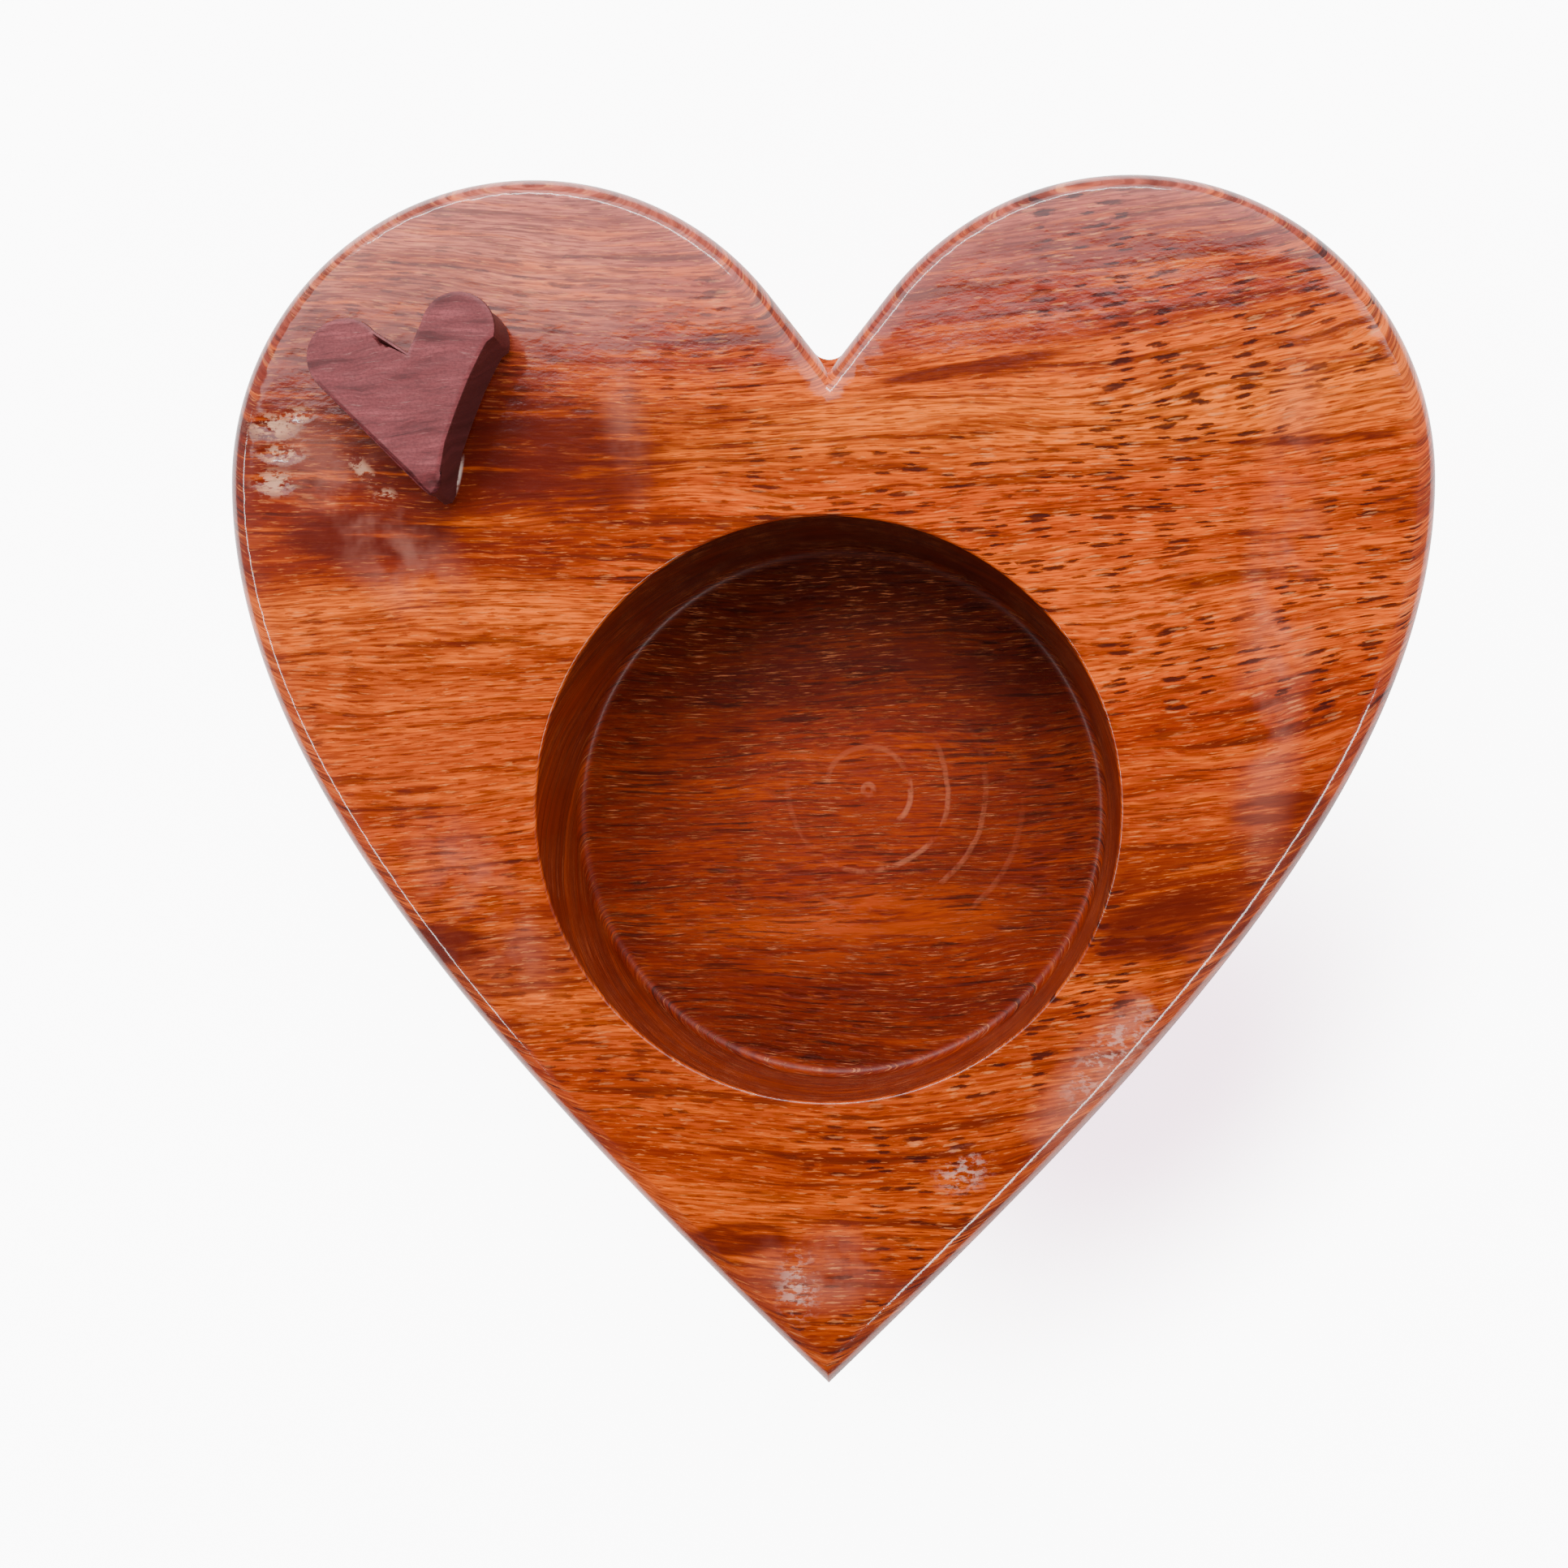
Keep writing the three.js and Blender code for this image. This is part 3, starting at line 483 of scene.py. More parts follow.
class Look:
    """A material and short calls for its nodes. Positions are the object's own, in millimetres."""

    def __init__(self, name):
        self.material = bpy.data.materials.new(name)
        self.material.use_nodes = True
        self.tree = self.material.node_tree
        self.shader = self.tree.nodes["Principled BSDF"]
        coords = self.tree.nodes.new("ShaderNodeTexCoord")
        self.at = self.stretch(coords.outputs["Object"], (1000, 1000, 1000))

    def put(self, socket, value):
        if isinstance(value, bpy.types.NodeSocket):
            self.tree.links.new(value, socket)
        else:
            socket.default_value = value

    def set(self, **values):
        for key, value in values.items():
            self.put(self.shader.inputs[key.replace("_", " ")], value)
        return self

    def stretch(self, vector, scale, turn=0.0, shift=(0, 0, 0)):
        node = self.tree.nodes.new("ShaderNodeMapping")
        self.put(node.inputs["Vector"], vector)
        node.inputs["Scale"].default_value = scale
        node.inputs["Rotation"].default_value = (0, 0, turn)
        node.inputs["Location"].default_value = shift
        return node.outputs[0]

    def noise(self, vector, scale=1.0, detail=3.0, rough=0.5, distortion=0.0):
        node = self.tree.nodes.new("ShaderNodeTexNoise")
        self.put(node.inputs["Vector"], vector)
        for key, value in (("Scale", scale), ("Detail", detail), ("Roughness", rough),
                           ("Distortion", distortion)):
            node.inputs[key].default_value = value
        return node.outputs["Fac"]

    def cells(self, vector):
        node = self.tree.nodes.new("ShaderNodeTexVoronoi")
        self.put(node.inputs["Vector"], vector)
        node.voronoi_dimensions = "2D"
        node.inputs["Scale"].default_value = 1.0
        return node.outputs["Distance"], node.outputs["Color"]

    def join(self, x, y, z=0.0):
        node = self.tree.nodes.new("ShaderNodeCombineXYZ")
        for socket, value in zip(node.inputs, (x, y, z)):
            self.put(socket, value)
        return node.outputs[0]

    def length(self, vector):
        node = self.tree.nodes.new("ShaderNodeVectorMath")
        node.operation = "LENGTH"
        self.put(node.inputs[0], vector)
        return node.outputs["Value"]

    def maths(self, operation, a, b=0.0, clamp=False):
        node = self.tree.nodes.new("ShaderNodeMath")
        node.operation = operation
        node.use_clamp = clamp
        self.put(node.inputs[0], a)
        self.put(node.inputs[1], b)
        return node.outputs[0]

    def times(self, *values):
        result = values[0]
        for value in values[1:]:
            result = self.maths("MULTIPLY", result, value)
        return result

    def fit(self, value, low, high, to_low=0.0, to_high=1.0):
        node = self.tree.nodes.new("ShaderNodeMapRange")
        node.interpolation_type = "SMOOTHSTEP"
        self.put(node.inputs["Value"], value)
        for key, number in (("From Min", low), ("From Max", high), ("To Min", to_low), ("To Max", to_high)):
            node.inputs[key].default_value = number
        return node.outputs["Result"]

    def axis(self, vector, name):
        node = self.tree.nodes.new("ShaderNodeSeparateXYZ")
        self.put(node.inputs[0], vector)
        return node.outputs[name]

    def ramp(self, value, stops, low=0.0, high=1.0):
        node = self.tree.nodes.new("ShaderNodeValToRGB")
        node.color_ramp.interpolation = "EASE"
        elements = node.color_ramp.elements
        elements[0].position, elements[1].position = 0.0, 1.0
        for index, (position, colour) in enumerate(stops):
            where = (position - low) / (high - low)
            element = elements[index] if index < 2 else elements.new(where)
            element.position = where
            element.color = colour
        self.put(node.inputs["Fac"], self.straight(value, low, high))
        return node.outputs["Color"]

    def straight(self, value, low, high):
        if (low, high) == (0.0, 1.0):
            return value
        return self.maths("DIVIDE", self.maths("SUBTRACT", value, low), high - low, True)

    def mix(self, factor, a, b, blend="MIX"):
        node = self.tree.nodes.new("ShaderNodeMix")
        node.data_type = "RGBA"
        node.blend_type = blend
        self.put(node.inputs["Factor"], factor)
        self.put(node.inputs[6], a)
        self.put(node.inputs[7], b)
        return node.outputs[2]

    def contrast(self, colour, tint, middle, power):
        """The tinted colour with its contrast raised about a middle tone."""
        ratio = tuple(t / m for t, m in zip(tint, middle)) + (1.0,)
        gamma = self.tree.nodes.new("ShaderNodeGamma")
        gamma.inputs["Gamma"].default_value = power
        self.put(gamma.inputs["Color"], self.mix(1.0, colour, ratio, "MULTIPLY"))
        return self.mix(1.0, gamma.outputs["Color"], middle + (1.0,), "MULTIPLY")

    def bump(self, height, distance, strength=1.0, under=None):
        node = self.tree.nodes.new("ShaderNodeBump")
        node.inputs["Strength"].default_value = strength
        node.inputs["Distance"].default_value = distance * MM
        self.put(node.inputs["Height"], height)
        if under is not None:
            self.put(node.inputs["Normal"], under)
        return node.outputs[0]

    def spot(self, x, y, rx, ry, turn=0.0):
        """1 in the middle of a turned ellipse on the plan, fading to 0 at its edge."""
        place = self.tree.nodes.new("ShaderNodeMapping")
        place.vector_type = "TEXTURE"
        self.put(place.inputs["Vector"], self.at)
        place.inputs["Location"].default_value = (x, y, 0)
        place.inputs["Rotation"].default_value = (0, 0, math.radians(turn))
        place.inputs["Scale"].default_value = (rx, ry, 1e6)
        return self.fit(self.length(place.outputs[0]), 0.15, 1.0, 1.0, 0.0)

    def spots(self, rows):
        """The strongest of several ellipses, each x, y, half length, half width, turn and strength."""
        return self.largest([self.times(self.spot(*row[:5]), row[5]) for row in rows])

    def largest(self, values):
        result = values[0]
        for value in values[1:]:
            result = self.maths("MAXIMUM", result, value)
        return result


# Colours across the grain, from the tip up: position in millimetres, then the display colour.
RIGHT_BANDS = ((-62, (146, 62, 22)), (-44, (170, 74, 20)), (-21, (186, 86, 34)), (-15, (126, 50, 20)),
               (-7, (184, 82, 30)), (3, (176, 70, 16)), (9, (222, 104, 20)), (27, (208, 92, 12)),
               (36, (236, 124, 24)), (41, (226, 110, 30)), (46, (160, 66, 46)), (62, (196, 104, 84)))
LEFT_BANDS = ((-62, (144, 60, 22)), (-34, (176, 74, 18)), (-20, (160, 76, 36)), (-8, (190, 84, 28)),
              (6, (200, 94, 28)), (16, (226, 114, 26)), (22, (140, 54, 20)), (36, (112, 38, 18)),
              (44, (150, 68, 50)), (52, (206, 118, 88)), (62, (200, 110, 90)))
BRIGHT_STREAK = (240, 120, 20)
RED_STREAK = (112, 34, 16)
BROWN_STREAK = (124, 38, 16)
DARK_STREAK = (84, 28, 16)
PORE = (62, 22, 22)
# Streaks along the grain: length, width, seed, strength, colour.
STREAKS = ((36, 4.5, 4.0, 0.45, BRIGHT_STREAK), (48, 5.5, 5.0, 0.55, RED_STREAK),
           (24, 1.3, 15.0, 0.42, BRIGHT_STREAK), (28, 2.2, 25.0, 0.45, BROWN_STREAK))
VARNISH = (0.98, 0.75, 0.58)
MIDDLE_TONE = (0.46, 0.085, 0.018)   # linear colour that the contrast step leaves alone
# Painted shade for the well: its colour is multiplied by this.
WELL_PAINTED_SHADE = (0.78, 0.62, 0.44, 1.0)

# Ellipses on the plan: x, y, half width, half height, turn in degrees, then strength except in the single
# ones, GLUE and PAPER_SHADE.
DARK_FIGURE = ((-27, 33, 17, 8, -4, 1), (-47, 25, 13, 4, 0, 1), (36, -15, 13, 5, 12, 1),
               (15, 42, 15, 1.1, 9, 1), (50, 34.6, 14, 0.8, 3, 1), (46, -3, 8, 2.2, 8, 1),
               (-40, -17, 8, 3, 0, 1), (-9, -47, 8, 2.5, 4, 1))
VEIL = ((46, 16, 5, 36, -5, 0.7), (-47, 27, 7, 18, 40, 0.9), (-21, 38, 3, 13, 10, 0.5),
        (30, -28, 5, 20, -42, 1), (-36, -12, 6, 16, 35, 0.6), (0, -50, 11, 6, 0, 0.7))
SMUDGES = ((29, -28, 3.2, 9, -42, 1), (14, -40, 4, 3, 20, 1), (-3, -52, 3, 5, 0, 1))
SCRATCHES = ((-48.0, 32.0, 1.2, 3.4, 40, 1), (-45.5, 29.2, 1.6, 1.2, 0, 1), (-3.0, 47.0, 1.3, 3.8, 38, 1))
GLUE = (-37.9, 31.2, 0.35, 2.6, -12)
WELL_GLOW = ((3, -16, 26, 6, 4, 1), (-8, 3, 16, 3, 2, 0.6))
PAPER_SHADE = (38, -38, 62, 36, 45)


def bands(look, value, stops):
    return look.ramp(value, [(y, srgb(*colour)) for y, colour in stops], -62, 62)


def grain_position(look):
    """Position across the grain: it rises to the right and wanders along its length."""
    x, y = look.axis(look.at, "X"), look.axis(look.at, "Y")
    depth = look.maths("SUBTRACT", look.axis(look.at, "Z"), TOP)
    slope = look.maths("MULTIPLY", x, look.fit(x, -20, 60, 0.0, 0.12))
    wander = look.noise(look.stretch(look.at, (0.014, 0.035, 0.03)), 1.0, 1.0, 0.5)
    ripple = look.noise(look.stretch(look.at, (0.05, 0.16, 0.1)), 1.0, 2.0, 0.5)
    across = look.maths("SUBTRACT", y, slope)
    across = look.maths("ADD", across, look.times(look.maths("SUBTRACT", wander, 0.5), 9.0))
    across = look.maths("ADD", across, look.times(look.maths("SUBTRACT", ripple, 0.5), 2.0))
    return look.maths("ADD", across, look.times(depth, 1.6))


def along_grain(look, across, length, width, seed):
    """A vector stretched along the grain: features are about length by width."""
    x = look.times(look.axis(look.at, "X"), 1.0 / length)
    y = look.maths("ADD", look.times(across, 1.0 / width), seed * 1.7)
    return look.join(x, y, seed)


def streaks(look, across, length, width, seed, low=0.52, high=0.63):
    """Long thin patches along the grain: 1 inside a streak."""
    place = along_grain(look, across, length, width, seed)
    return look.fit(look.noise(place, 1.0, 4.0, 0.6, 0.08), low, high)


def pores(look, across, length, width, seed, keep):
    """Short ragged dashes along the grain; keep is the share of places that hold one."""
    distance, colour = look.cells(along_grain(look, across, length * 2.3, width * 2.3, seed))
    ragged = look.noise(along_grain(look, across, length * 0.3, width * 0.6, seed), 1.0, 2.0)
    distance = look.maths("ADD", distance, look.times(look.maths("SUBTRACT", ragged, 0.5), 0.35))
    chosen = look.fit(look.axis(colour, "X"), keep - 0.04, keep + 0.04, 1.0, 0.0)
    return look.times(look.fit(distance, 0.12, 0.27, 1.0, 0.0), chosen)


def broad_figure(look, across):
    """Bands across the grain, different on the left and the right, with wide streaks over them."""
    side = look.noise(look.stretch(look.at, (0.04, 0.09, 0.04), shift=(7, 2, 1)), 1.0, 3.0)
    side = look.fit(look.maths("ADD", look.axis(look.at, "X"), look.times(side, 36.0)), -14.0, 4.0)
    colour = look.mix(side, bands(look, across, LEFT_BANDS), bands(look, across, RIGHT_BANDS))
    for length, width, seed, strength, tone in STREAKS:
        streak = streaks(look, across, length, width, seed)
        colour = look.mix(look.times(streak, strength), colour, srgb(*tone))
    return colour


def fine_figure(look, across, colour):
    """Fibres, ticks and pale flecks. Returns the colour and the fibres."""
    fibre = look.noise(along_grain(look, across, 4.5, 0.26, 2.0), 1.0, 3.0, 0.6)
    colour = look.mix(look.fit(fibre, 0.42, 0.62, 0.0, 0.55), colour, srgb(112, 34, 14))
    tick = pores(look, across, 1.3, 0.17, 71.0, 0.75)
    colour = look.mix(look.times(tick, 0.55), colour, srgb(*RED_STREAK))
    fleck = streaks(look, across, 2.0, 0.22, 6.0, 0.56, 0.68)
    return look.mix(look.times(fleck, 0.38), colour, srgb(238, 156, 92)), fibre


def open_pores(look, across, colour, strong):
    """Dark pores and pale ones, in patches. Returns the colour and the dark pores."""
    many = look.fit(look.noise(look.stretch(look.at, (0.05, 0.07, 0.05), shift=(3, 9, 0))), 0.42, 0.56)
    many = look.times(many, look.fit(look.axis(look.at, "X"), -35, 25, 0.6, 1.0))
    long_dash = pores(look, across, 3.0, 0.48, 1.0, 0.40)
    short_dash = pores(look, across, 1.8, 0.30, 21.0, 0.5)
    dash = look.times(look.largest([long_dash, short_dash]), many)
    colour = look.mix(look.times(dash, 0.85 * strong), colour, srgb(*PORE))
    pale = look.times(pores(look, across, 1.7, 0.22, 31.0, 0.35), many)
    return look.mix(look.times(pale, 0.34), colour, srgb(240, 166, 112)), dash


def dark_zones(look, across, colour):
    """The dark flames of the figure, frayed along the grain."""
    broken = look.noise(along_grain(look, across, 12, 1.6, 61.0), 1.0, 3.0, 0.6)
    figure = look.times(look.fit(look.spots(DARK_FIGURE), 0.05, 0.6), look.fit(broken, 0.32, 0.52))
    return look.mix(look.times(figure, 0.85), colour, srgb(98, 30, 16))


def rosewood(look, strong=1.0):
    """The body's wood. Returns its colour, its surface height and the position across the grain."""
    across = grain_position(look)
    colour = broad_figure(look, across)
    dark = streaks(look, across, 30, 1.3, 9.0, 0.54, 0.64)
    colour = look.mix(look.times(dark, 0.68 * strong), colour, srgb(*DARK_STREAK))
    thin = streaks(look, across, 13, 0.6, 19.0, 0.54, 0.66)
    colour = look.mix(look.times(thin, 0.60 * strong), colour, srgb(*DARK_STREAK))
    colour, fibre = fine_figure(look, across, colour)
    colour, dash = open_pores(look, across, colour, strong)
    colour = dark_zones(look, across, colour)
    cut = look.maths("ADD", dash, look.times(look.maths("ADD", dark, thin), 0.25))
    height = look.maths("SUBTRACT", look.times(fibre, 0.5), cut)
    return look.contrast(colour, VARNISH, MIDDLE_TONE, 1.22), height, across


def handled(look, colour):
    """Haze, rubbed patches, glue and chips on the top. Returns the colour and the chips."""
    cloud = look.noise(look.stretch(look.at, (0.12, 0.12, 0.1)), 1.0, 4.0, 0.6)
    veil = look.times(look.fit(cloud, 0.38, 0.62), look.spots(VEIL))
    colour = look.mix(look.times(veil, 0.24), colour, srgb(226, 160, 140))
    grit = look.noise(look.stretch(look.at, (0.8, 1.4, 1.2)), 1.0, 5.0, 0.7)
    worn = look.times(look.fit(grit, 0.48, 0.60), look.spots(SMUDGES))
    colour = look.mix(look.times(worn, 0.42), colour, srgb(232, 186, 170))
    glue = look.times(look.spot(*GLUE), look.fit(grit, 0.35, 0.5))
    colour = look.mix(look.times(glue, 0.9), colour, srgb(240, 212, 200))
    chips = [look.spot(cx, cy, rx * 1.5, ry * 1.6) for cx, cy, rx, ry in CHIPS]
    chips = look.largest(chips + [look.spots(SCRATCHES)])
    chips = look.times(look.fit(grit, 0.47, 0.56), chips)
    return look.mix(look.times(chips, 0.55), colour, srgb(240, 186, 152)), chips


def case_material():
    """Lacquered wood; the lacquer is thin on the chips and on the lower right edge, whose outer band is
    also darkened with painted shade.
    """
    look = Look("case_wood")
    colour, height, _ = rosewood(look)
    colour, chips = handled(look, colour)
    wave = look.noise(look.stretch(look.at, (0.05, 0.07, 0.06)), 1.0, 3.0, 0.5)
    skin = look.noise(look.stretch(look.at, (0.5, 0.8, 0.5)), 1.0, 3.0, 0.55)
    lacquer = look.bump(skin, 0.03, 0.8, look.bump(wave, 0.4, 0.5))
    # Painted shade: the outer band of the rounded edge on the lower right is darkened towards dark red; the
    # same band also gets thinner lacquer.
    lower_right = look.maths("SUBTRACT", look.axis(look.at, "X"), look.axis(look.at, "Y"))
    outer = look.fit(look.axis(look.at, "Z"), TOP - 0.9, TOP - 2.0)
    rim = look.times(outer, look.fit(lower_right, 24.0, 56.0))
    colour = look.mix(look.times(rim, 0.8), colour, srgb(112, 32, 18))
    dry = look.maths("MAXIMUM", look.fit(chips, 0.0, 0.6, 0.0, 0.9), look.times(rim, 0.75))
    look.set(Base_Color=colour, Roughness=0.5, Normal=look.bump(height, 0.06, 0.8),
             Coat_Weight=look.maths("SUBTRACT", 1.0, dry), Coat_Roughness=0.10, Coat_IOR=1.5,
             Coat_Normal=lacquer, Specular_IOR_Level=0.05)
    return look.material


def well_material():
    """The well's bare-cut wood: darker and redder, with pale fibres pulled up by the cutter that also carry
    painted glints, and arcs from the cutter; painted shade darkens it further all over and most of all
    towards its upper wall.
    """
    look = Look("well_wood")
    colour, height, across = rosewood(look, 0.9)
    # Bare-cut wood is darker and redder; this mix also deepens the well as part of its painted shade.
    colour = look.mix(0.48, colour, srgb(124, 34, 10))
    # Painted shade: the well darkens towards its upper wall, where the rim's shadow falls.
    shade = look.fit(look.axis(look.at, "Y"), 2.0, 27.0)
    colour = look.mix(look.times(shade, 0.8), colour, srgb(44, 12, 9))
    glow = look.times(look.spots(WELL_GLOW), streaks(look, across, 20, 1.6, 77.0, 0.42, 0.56), 0.6)
    colour = look.mix(glow, colour, srgb(214, 92, 28))
    # Pale fibres pulled up by the cutter, brightened further as painted glints.
    torn_fibres_and_glints = look.noise(along_grain(look, across, 3.0, 0.17, 44.0), 1.0, 4.0, 0.66)
    patch = look.noise(look.stretch(look.at, (0.10, 0.16, 0.1), shift=(1, 4, 2)), 1.0, 3.0)
    torn_fibres_and_glints = look.times(look.fit(torn_fibres_and_glints, 0.54, 0.64), look.fit(patch, 0.36, 0.54))
    colour = look.mix(look.times(torn_fibres_and_glints, 0.7), colour, srgb(240, 156, 118))
    split = streaks(look, across, 9, 0.5, 51.0, 0.55, 0.64)
    colour = look.mix(look.times(split, 0.7), colour, srgb(54, 14, 10))
    middle = look.stretch(look.at, (1, 1, 0), shift=(-CUTTER_CENTRE[0], -CUTTER_CENTRE[1], 0))
    reach = look.maths("ADD", look.length(middle), look.times(patch, 1.2))
    arcs = look.maths("SINE", look.times(reach, 1.45))
    broken = look.noise(look.stretch(look.at, (0.13, 0.13, 0.2), shift=(5, 5, 5)), 1.0, 5.0, 0.7)
    arcs = look.times(look.fit(arcs, 0.84, 0.99), look.fit(broken, 0.45, 0.60), look.spot(7, -6, 18, 17))
    colour = look.mix(look.times(arcs, 0.42), colour, srgb(214, 140, 116))
    # Painted shade: the whole well is darkened and made redder.
    colour = look.mix(1.0, colour, WELL_PAINTED_SHADE, "MULTIPLY")
    relief = look.maths("ADD", height, look.maths("ADD", look.times(torn_fibres_and_glints, 1.2), look.times(arcs, 1.2)))
    look.set(Base_Color=colour, Roughness=0.5, Normal=look.bump(relief, 0.07, 0.9),
             Coat_Weight=0.25, Coat_Roughness=0.3, Specular_IOR_Level=0.12)
    return look.material


def knob_material():
    """Purplish brown wood; its walls are darkened with painted shade."""
    look = Look("knob_wood")
    x, y = look.axis(look.at, "X"), look.axis(look.at, "Y")
    across = look.maths("ADD", y, look.times(look.noise(look.stretch(look.at, (0.1, 0.2, 0.2))), 3.0))
    across = look.maths("SUBTRACT", across, look.times(x, 0.08))
    across = look.maths("ADD", across, look.times(look.axis(look.at, "Z"), 0.5))
    tone = look.noise(along_grain(look, across, 9, 1.3, 3.0), 1.0, 4.0, 0.6)
    colour = look.ramp(tone, [(0.3, srgb(84, 30, 32)), (0.5, srgb(120, 52, 55)), (0.7, srgb(150, 70, 74))])
    line = look.noise(along_grain(look, across, 4, 0.28, 8.0), 1.0, 4.0, 0.6)
    colour = look.mix(look.times(look.fit(line, 0.52, 0.7), 0.5), colour, srgb(62, 24, 26))
    pale = look.noise(along_grain(look, across, 2.4, 0.2, 12.0), 1.0, 3.0, 0.6)
    colour = look.mix(look.times(look.fit(pale, 0.58, 0.75), 0.4), colour, srgb(176, 122, 116))
    normal = look.tree.nodes.new("ShaderNodeNewGeometry").outputs["Normal"]
    # Painted shade: the steeper the surface, the darker it is painted, so the knob's walls look shaded.
    wall = look.fit(look.axis(normal, "Z"), 0.75, 0.25)
    colour = look.mix(look.times(wall, 0.75), colour, srgb(58, 20, 14))
    speck = look.noise(look.stretch(look.at, (3.2, 4.5, 3.2)), 1.0, 3.0, 0.7)
    colour = look.mix(look.fit(speck, 0.44, 0.60, 0.0, 0.35), colour, srgb(66, 24, 28))
    look.set(Base_Color=colour, Roughness=0.6, Normal=look.bump(line, 0.05, 0.7),
             Coat_Weight=0.15, Coat_Roughness=0.4, Specular_IOR_Level=0.25)
    return look.material


def plywood_material():
    """The cover's plywood, with its grain along Y."""
    look = Look("cover_wood")
    wander = look.times(look.noise(look.stretch(look.at, (0.05, 0.02, 0.05))), 14.0)
    across = look.maths("ADD", look.axis(look.at, "X"), wander)
    place = look.join(look.times(across, 0.5), look.times(look.axis(look.at, "Y"), 0.03))
    figure = look.noise(place, 1.0, 5.0, 0.6)
    stops = [(0.3, srgb(122, 78, 50)), (0.5, srgb(150, 100, 64)), (0.7, srgb(176, 126, 84))]
    look.set(Base_Color=look.ramp(figure, stops), Roughness=0.6, Normal=look.bump(figure, 0.05, 0.5))
    return look.material


def metal_material(name, colour, roughness, scratch=(4.0, 0.3, 4.0)):
    """Bare metal with fine working marks and slightly uneven polish."""
    look = Look(name)
    marks = look.noise(look.stretch(look.at, scratch), 1.0, 4.0, 0.6)
    dull = look.noise(look.stretch(look.at, (0.2, 0.2, 0.2)), 1.0, 3.0, 0.5)
    shade = tuple(channel * 0.72 for channel in colour[:3]) + (1.0,)
    tone = look.mix(look.fit(dull, 0.3, 0.7), shade, colour)
    look.set(Base_Color=tone, Metallic=1.0,
             Roughness=look.fit(marks, 0.2, 0.8, roughness * 0.8, roughness * 1.25),
             Normal=look.bump(marks, 0.01, 0.5))
    return look.material


def pad_material():
    look = Look("foot_pad")
    fluff = look.noise(look.stretch(look.at, (3, 3, 3)), 1.0, 5.0, 0.7)
    colour = look.mix(fluff, srgb(34, 28, 26), srgb(70, 62, 58))
    look.set(Base_Color=colour, Roughness=0.95, Normal=look.bump(fluff, 0.2, 0.8))
    return look.material


def plastic_material():
    look = Look("fan_plastic")
    speck = look.noise(look.stretch(look.at, (2, 2, 2)), 1.0, 4.0, 0.6)
    colour = look.mix(speck, srgb(214, 208, 194), srgb(234, 230, 220))
    look.set(Base_Color=colour, Roughness=0.42, Normal=look.bump(speck, 0.01, 0.5))
    return look.material


def floor_material():
    """Overexposed white paper with a painted shadow: a little dimmer and pinker beside the heart's lower
    right.
    """
    look = Look("paper_floor")
    seen = look.tree.nodes.new("ShaderNodeLightPath").outputs["Is Camera Ray"]
    bright = look.maths("ADD", look.times(seen, PAPER_GLOW), 1.2)
    # Painted shadow on the paper beside the heart's lower right.
    painted_shadow = look.spot(*PAPER_SHADE)
    glow = look.mix(look.times(painted_shadow, 0.85), (1.0, 1.0, 1.0, 1.0), (0.32, 0.17, 0.25, 1.0))
    look.set(Base_Color=srgb(248, 247, 248), Roughness=0.85, Specular_IOR_Level=0.1,
             Emission_Color=glow, Emission_Strength=bright)
    return look.material


# ---- Stage --------------------------------------------------------------------------------------
def add_floor():
    size = 3.0
    mesh = bpy.data.meshes.new("floor")
    corners = [(-size, -size, 0), (size, -size, 0), (size, size, 0), (-size, size, 0)]
    mesh.from_pydata(corners, [], [(0, 1, 2, 3)])
    mesh.materials.append(floor_material())
    floor = bpy.data.objects.new("floor", mesh)
    floor.location = (0, 0, -0.0002)
    bpy.context.collection.objects.link(floor)


def add_light(name, place, size, radiance, colour):
    """A soft box that faces the object; radiance is how bright its face is."""
    light = bpy.data.lights.new(name, "AREA")
    light.shape = "RECTANGLE"
    light.size, light.size_y = size
    light.energy = radiance * math.pi * size[0] * size[1]
    light.color = colour
    obj = bpy.data.objects.new(name, light)
    obj.location = [value * MM for value in place]
    away = Vector(place) - Vector((0, 0, TOP))
    obj.rotation_euler = away.to_track_quat("Z", "Y").to_euler()
    bpy.context.collection.objects.link(obj)


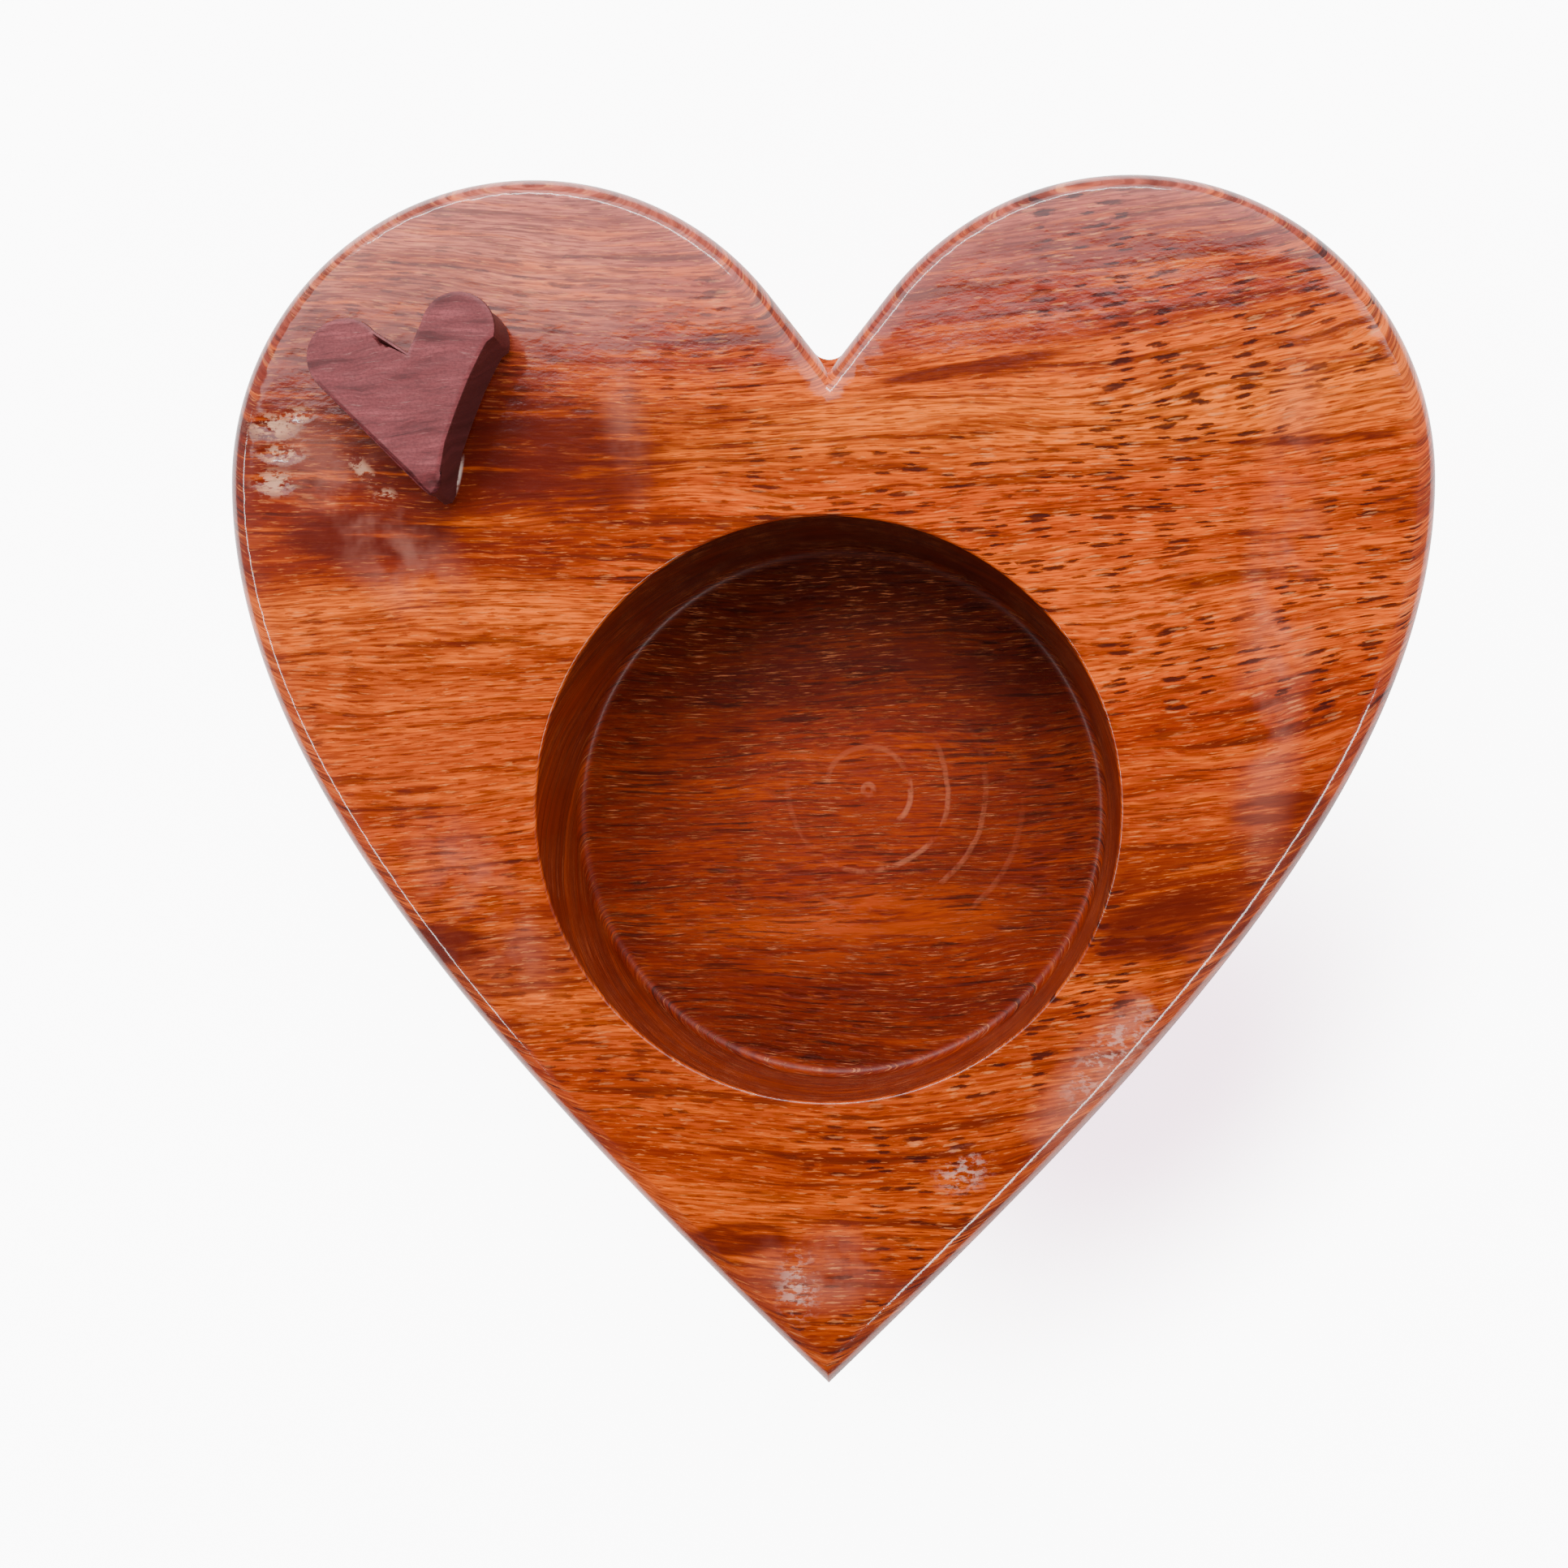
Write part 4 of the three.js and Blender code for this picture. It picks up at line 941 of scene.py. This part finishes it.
def add_world():
    """A pale studio: bright from the sides and dark straight overhead, where the camera hangs."""
    world = bpy.data.worlds.new("studio")
    world.use_nodes = True
    nodes, links = world.node_tree.nodes, world.node_tree.links

    def fit(socket, kind, low, high, to_low, to_high):
        node = nodes.new("ShaderNodeMapRange")
        node.interpolation_type = kind
        for key, value in (("From Min", low), ("From Max", high), ("To Min", to_low), ("To Max", to_high)):
            node.inputs[key].default_value = value
        links.new(socket, node.inputs["Value"])
        return node.outputs["Result"]

    split = nodes.new("ShaderNodeSeparateXYZ")
    links.new(nodes.new("ShaderNodeTexCoord").outputs["Generated"], split.inputs[0])
    strength = nodes.new("ShaderNodeMath")
    strength.operation = "MULTIPLY"
    links.new(fit(split.outputs["Z"], "SMOOTHSTEP", 0.94, 0.80, 0.01, STUDIO_GLOW), strength.inputs[0])
    links.new(fit(split.outputs["Y"], "LINEAR", -0.8, 0.8, 0.25, 1.2), strength.inputs[1])
    backdrop = nodes.new("ShaderNodeMath")
    backdrop.operation = "MULTIPLY_ADD"
    backdrop.inputs[1].default_value = PAPER_GLOW
    links.new(nodes.new("ShaderNodeLightPath").outputs["Is Camera Ray"], backdrop.inputs[0])
    links.new(strength.outputs[0], backdrop.inputs[2])
    background = nodes["Background"]
    background.inputs["Color"].default_value = STUDIO_TINT
    links.new(backdrop.outputs[0], background.inputs["Strength"])
    bpy.context.scene.world = world


def add_camera():
    data = bpy.data.cameras.new("camera")
    data.lens = CAMERA_LENS
    data.sensor_width = 36.0
    data.shift_x, data.shift_y = CAMERA_SHIFT
    data.clip_start = 0.01
    camera = bpy.data.objects.new("camera", data)
    camera.location = [value * MM for value in CAMERA_AT]
    camera.rotation_euler = (0, CAMERA_TILT, 0)
    bpy.context.collection.objects.link(camera)
    bpy.context.scene.camera = camera


# ---- Assembly -----------------------------------------------------------------------------------
add_camera()
add_world()
add_floor()
for light in LIGHTS:
    add_light(*light)

case = build_case(case_material(), well_material())
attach(case, "case")
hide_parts("case_body")

knob = build_knob(knob_material())
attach(knob, "winder")
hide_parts("winding_knob")

SLOT_LOOKS = {
    "cover_wood": plywood_material(),
    "brass": metal_material("brass", srgb(214, 176, 98), 0.28),
    "steel": metal_material("steel", srgb(200, 202, 206), 0.25),
    "cast_metal": metal_material("cast_metal", srgb(172, 172, 170), 0.5, (2.0, 2.0, 2.0)),
    "spring_steel": metal_material("spring_steel", srgb(86, 94, 110), 0.3),
    "foot_pad": pad_material(),
    "fan_plastic": plastic_material(),
}
slot_of = {entry["node"]: entry["material_slot"] for entry in frame["record"]["subparts"]}
for node_name, node in frame["nodes"].items():
    material = SLOT_LOOKS.get(slot_of[node_name])
    if material is None:
        continue
    if not node.material_slots:
        node.data.materials.append(material)
    for entry in node.material_slots:
        entry.material = material
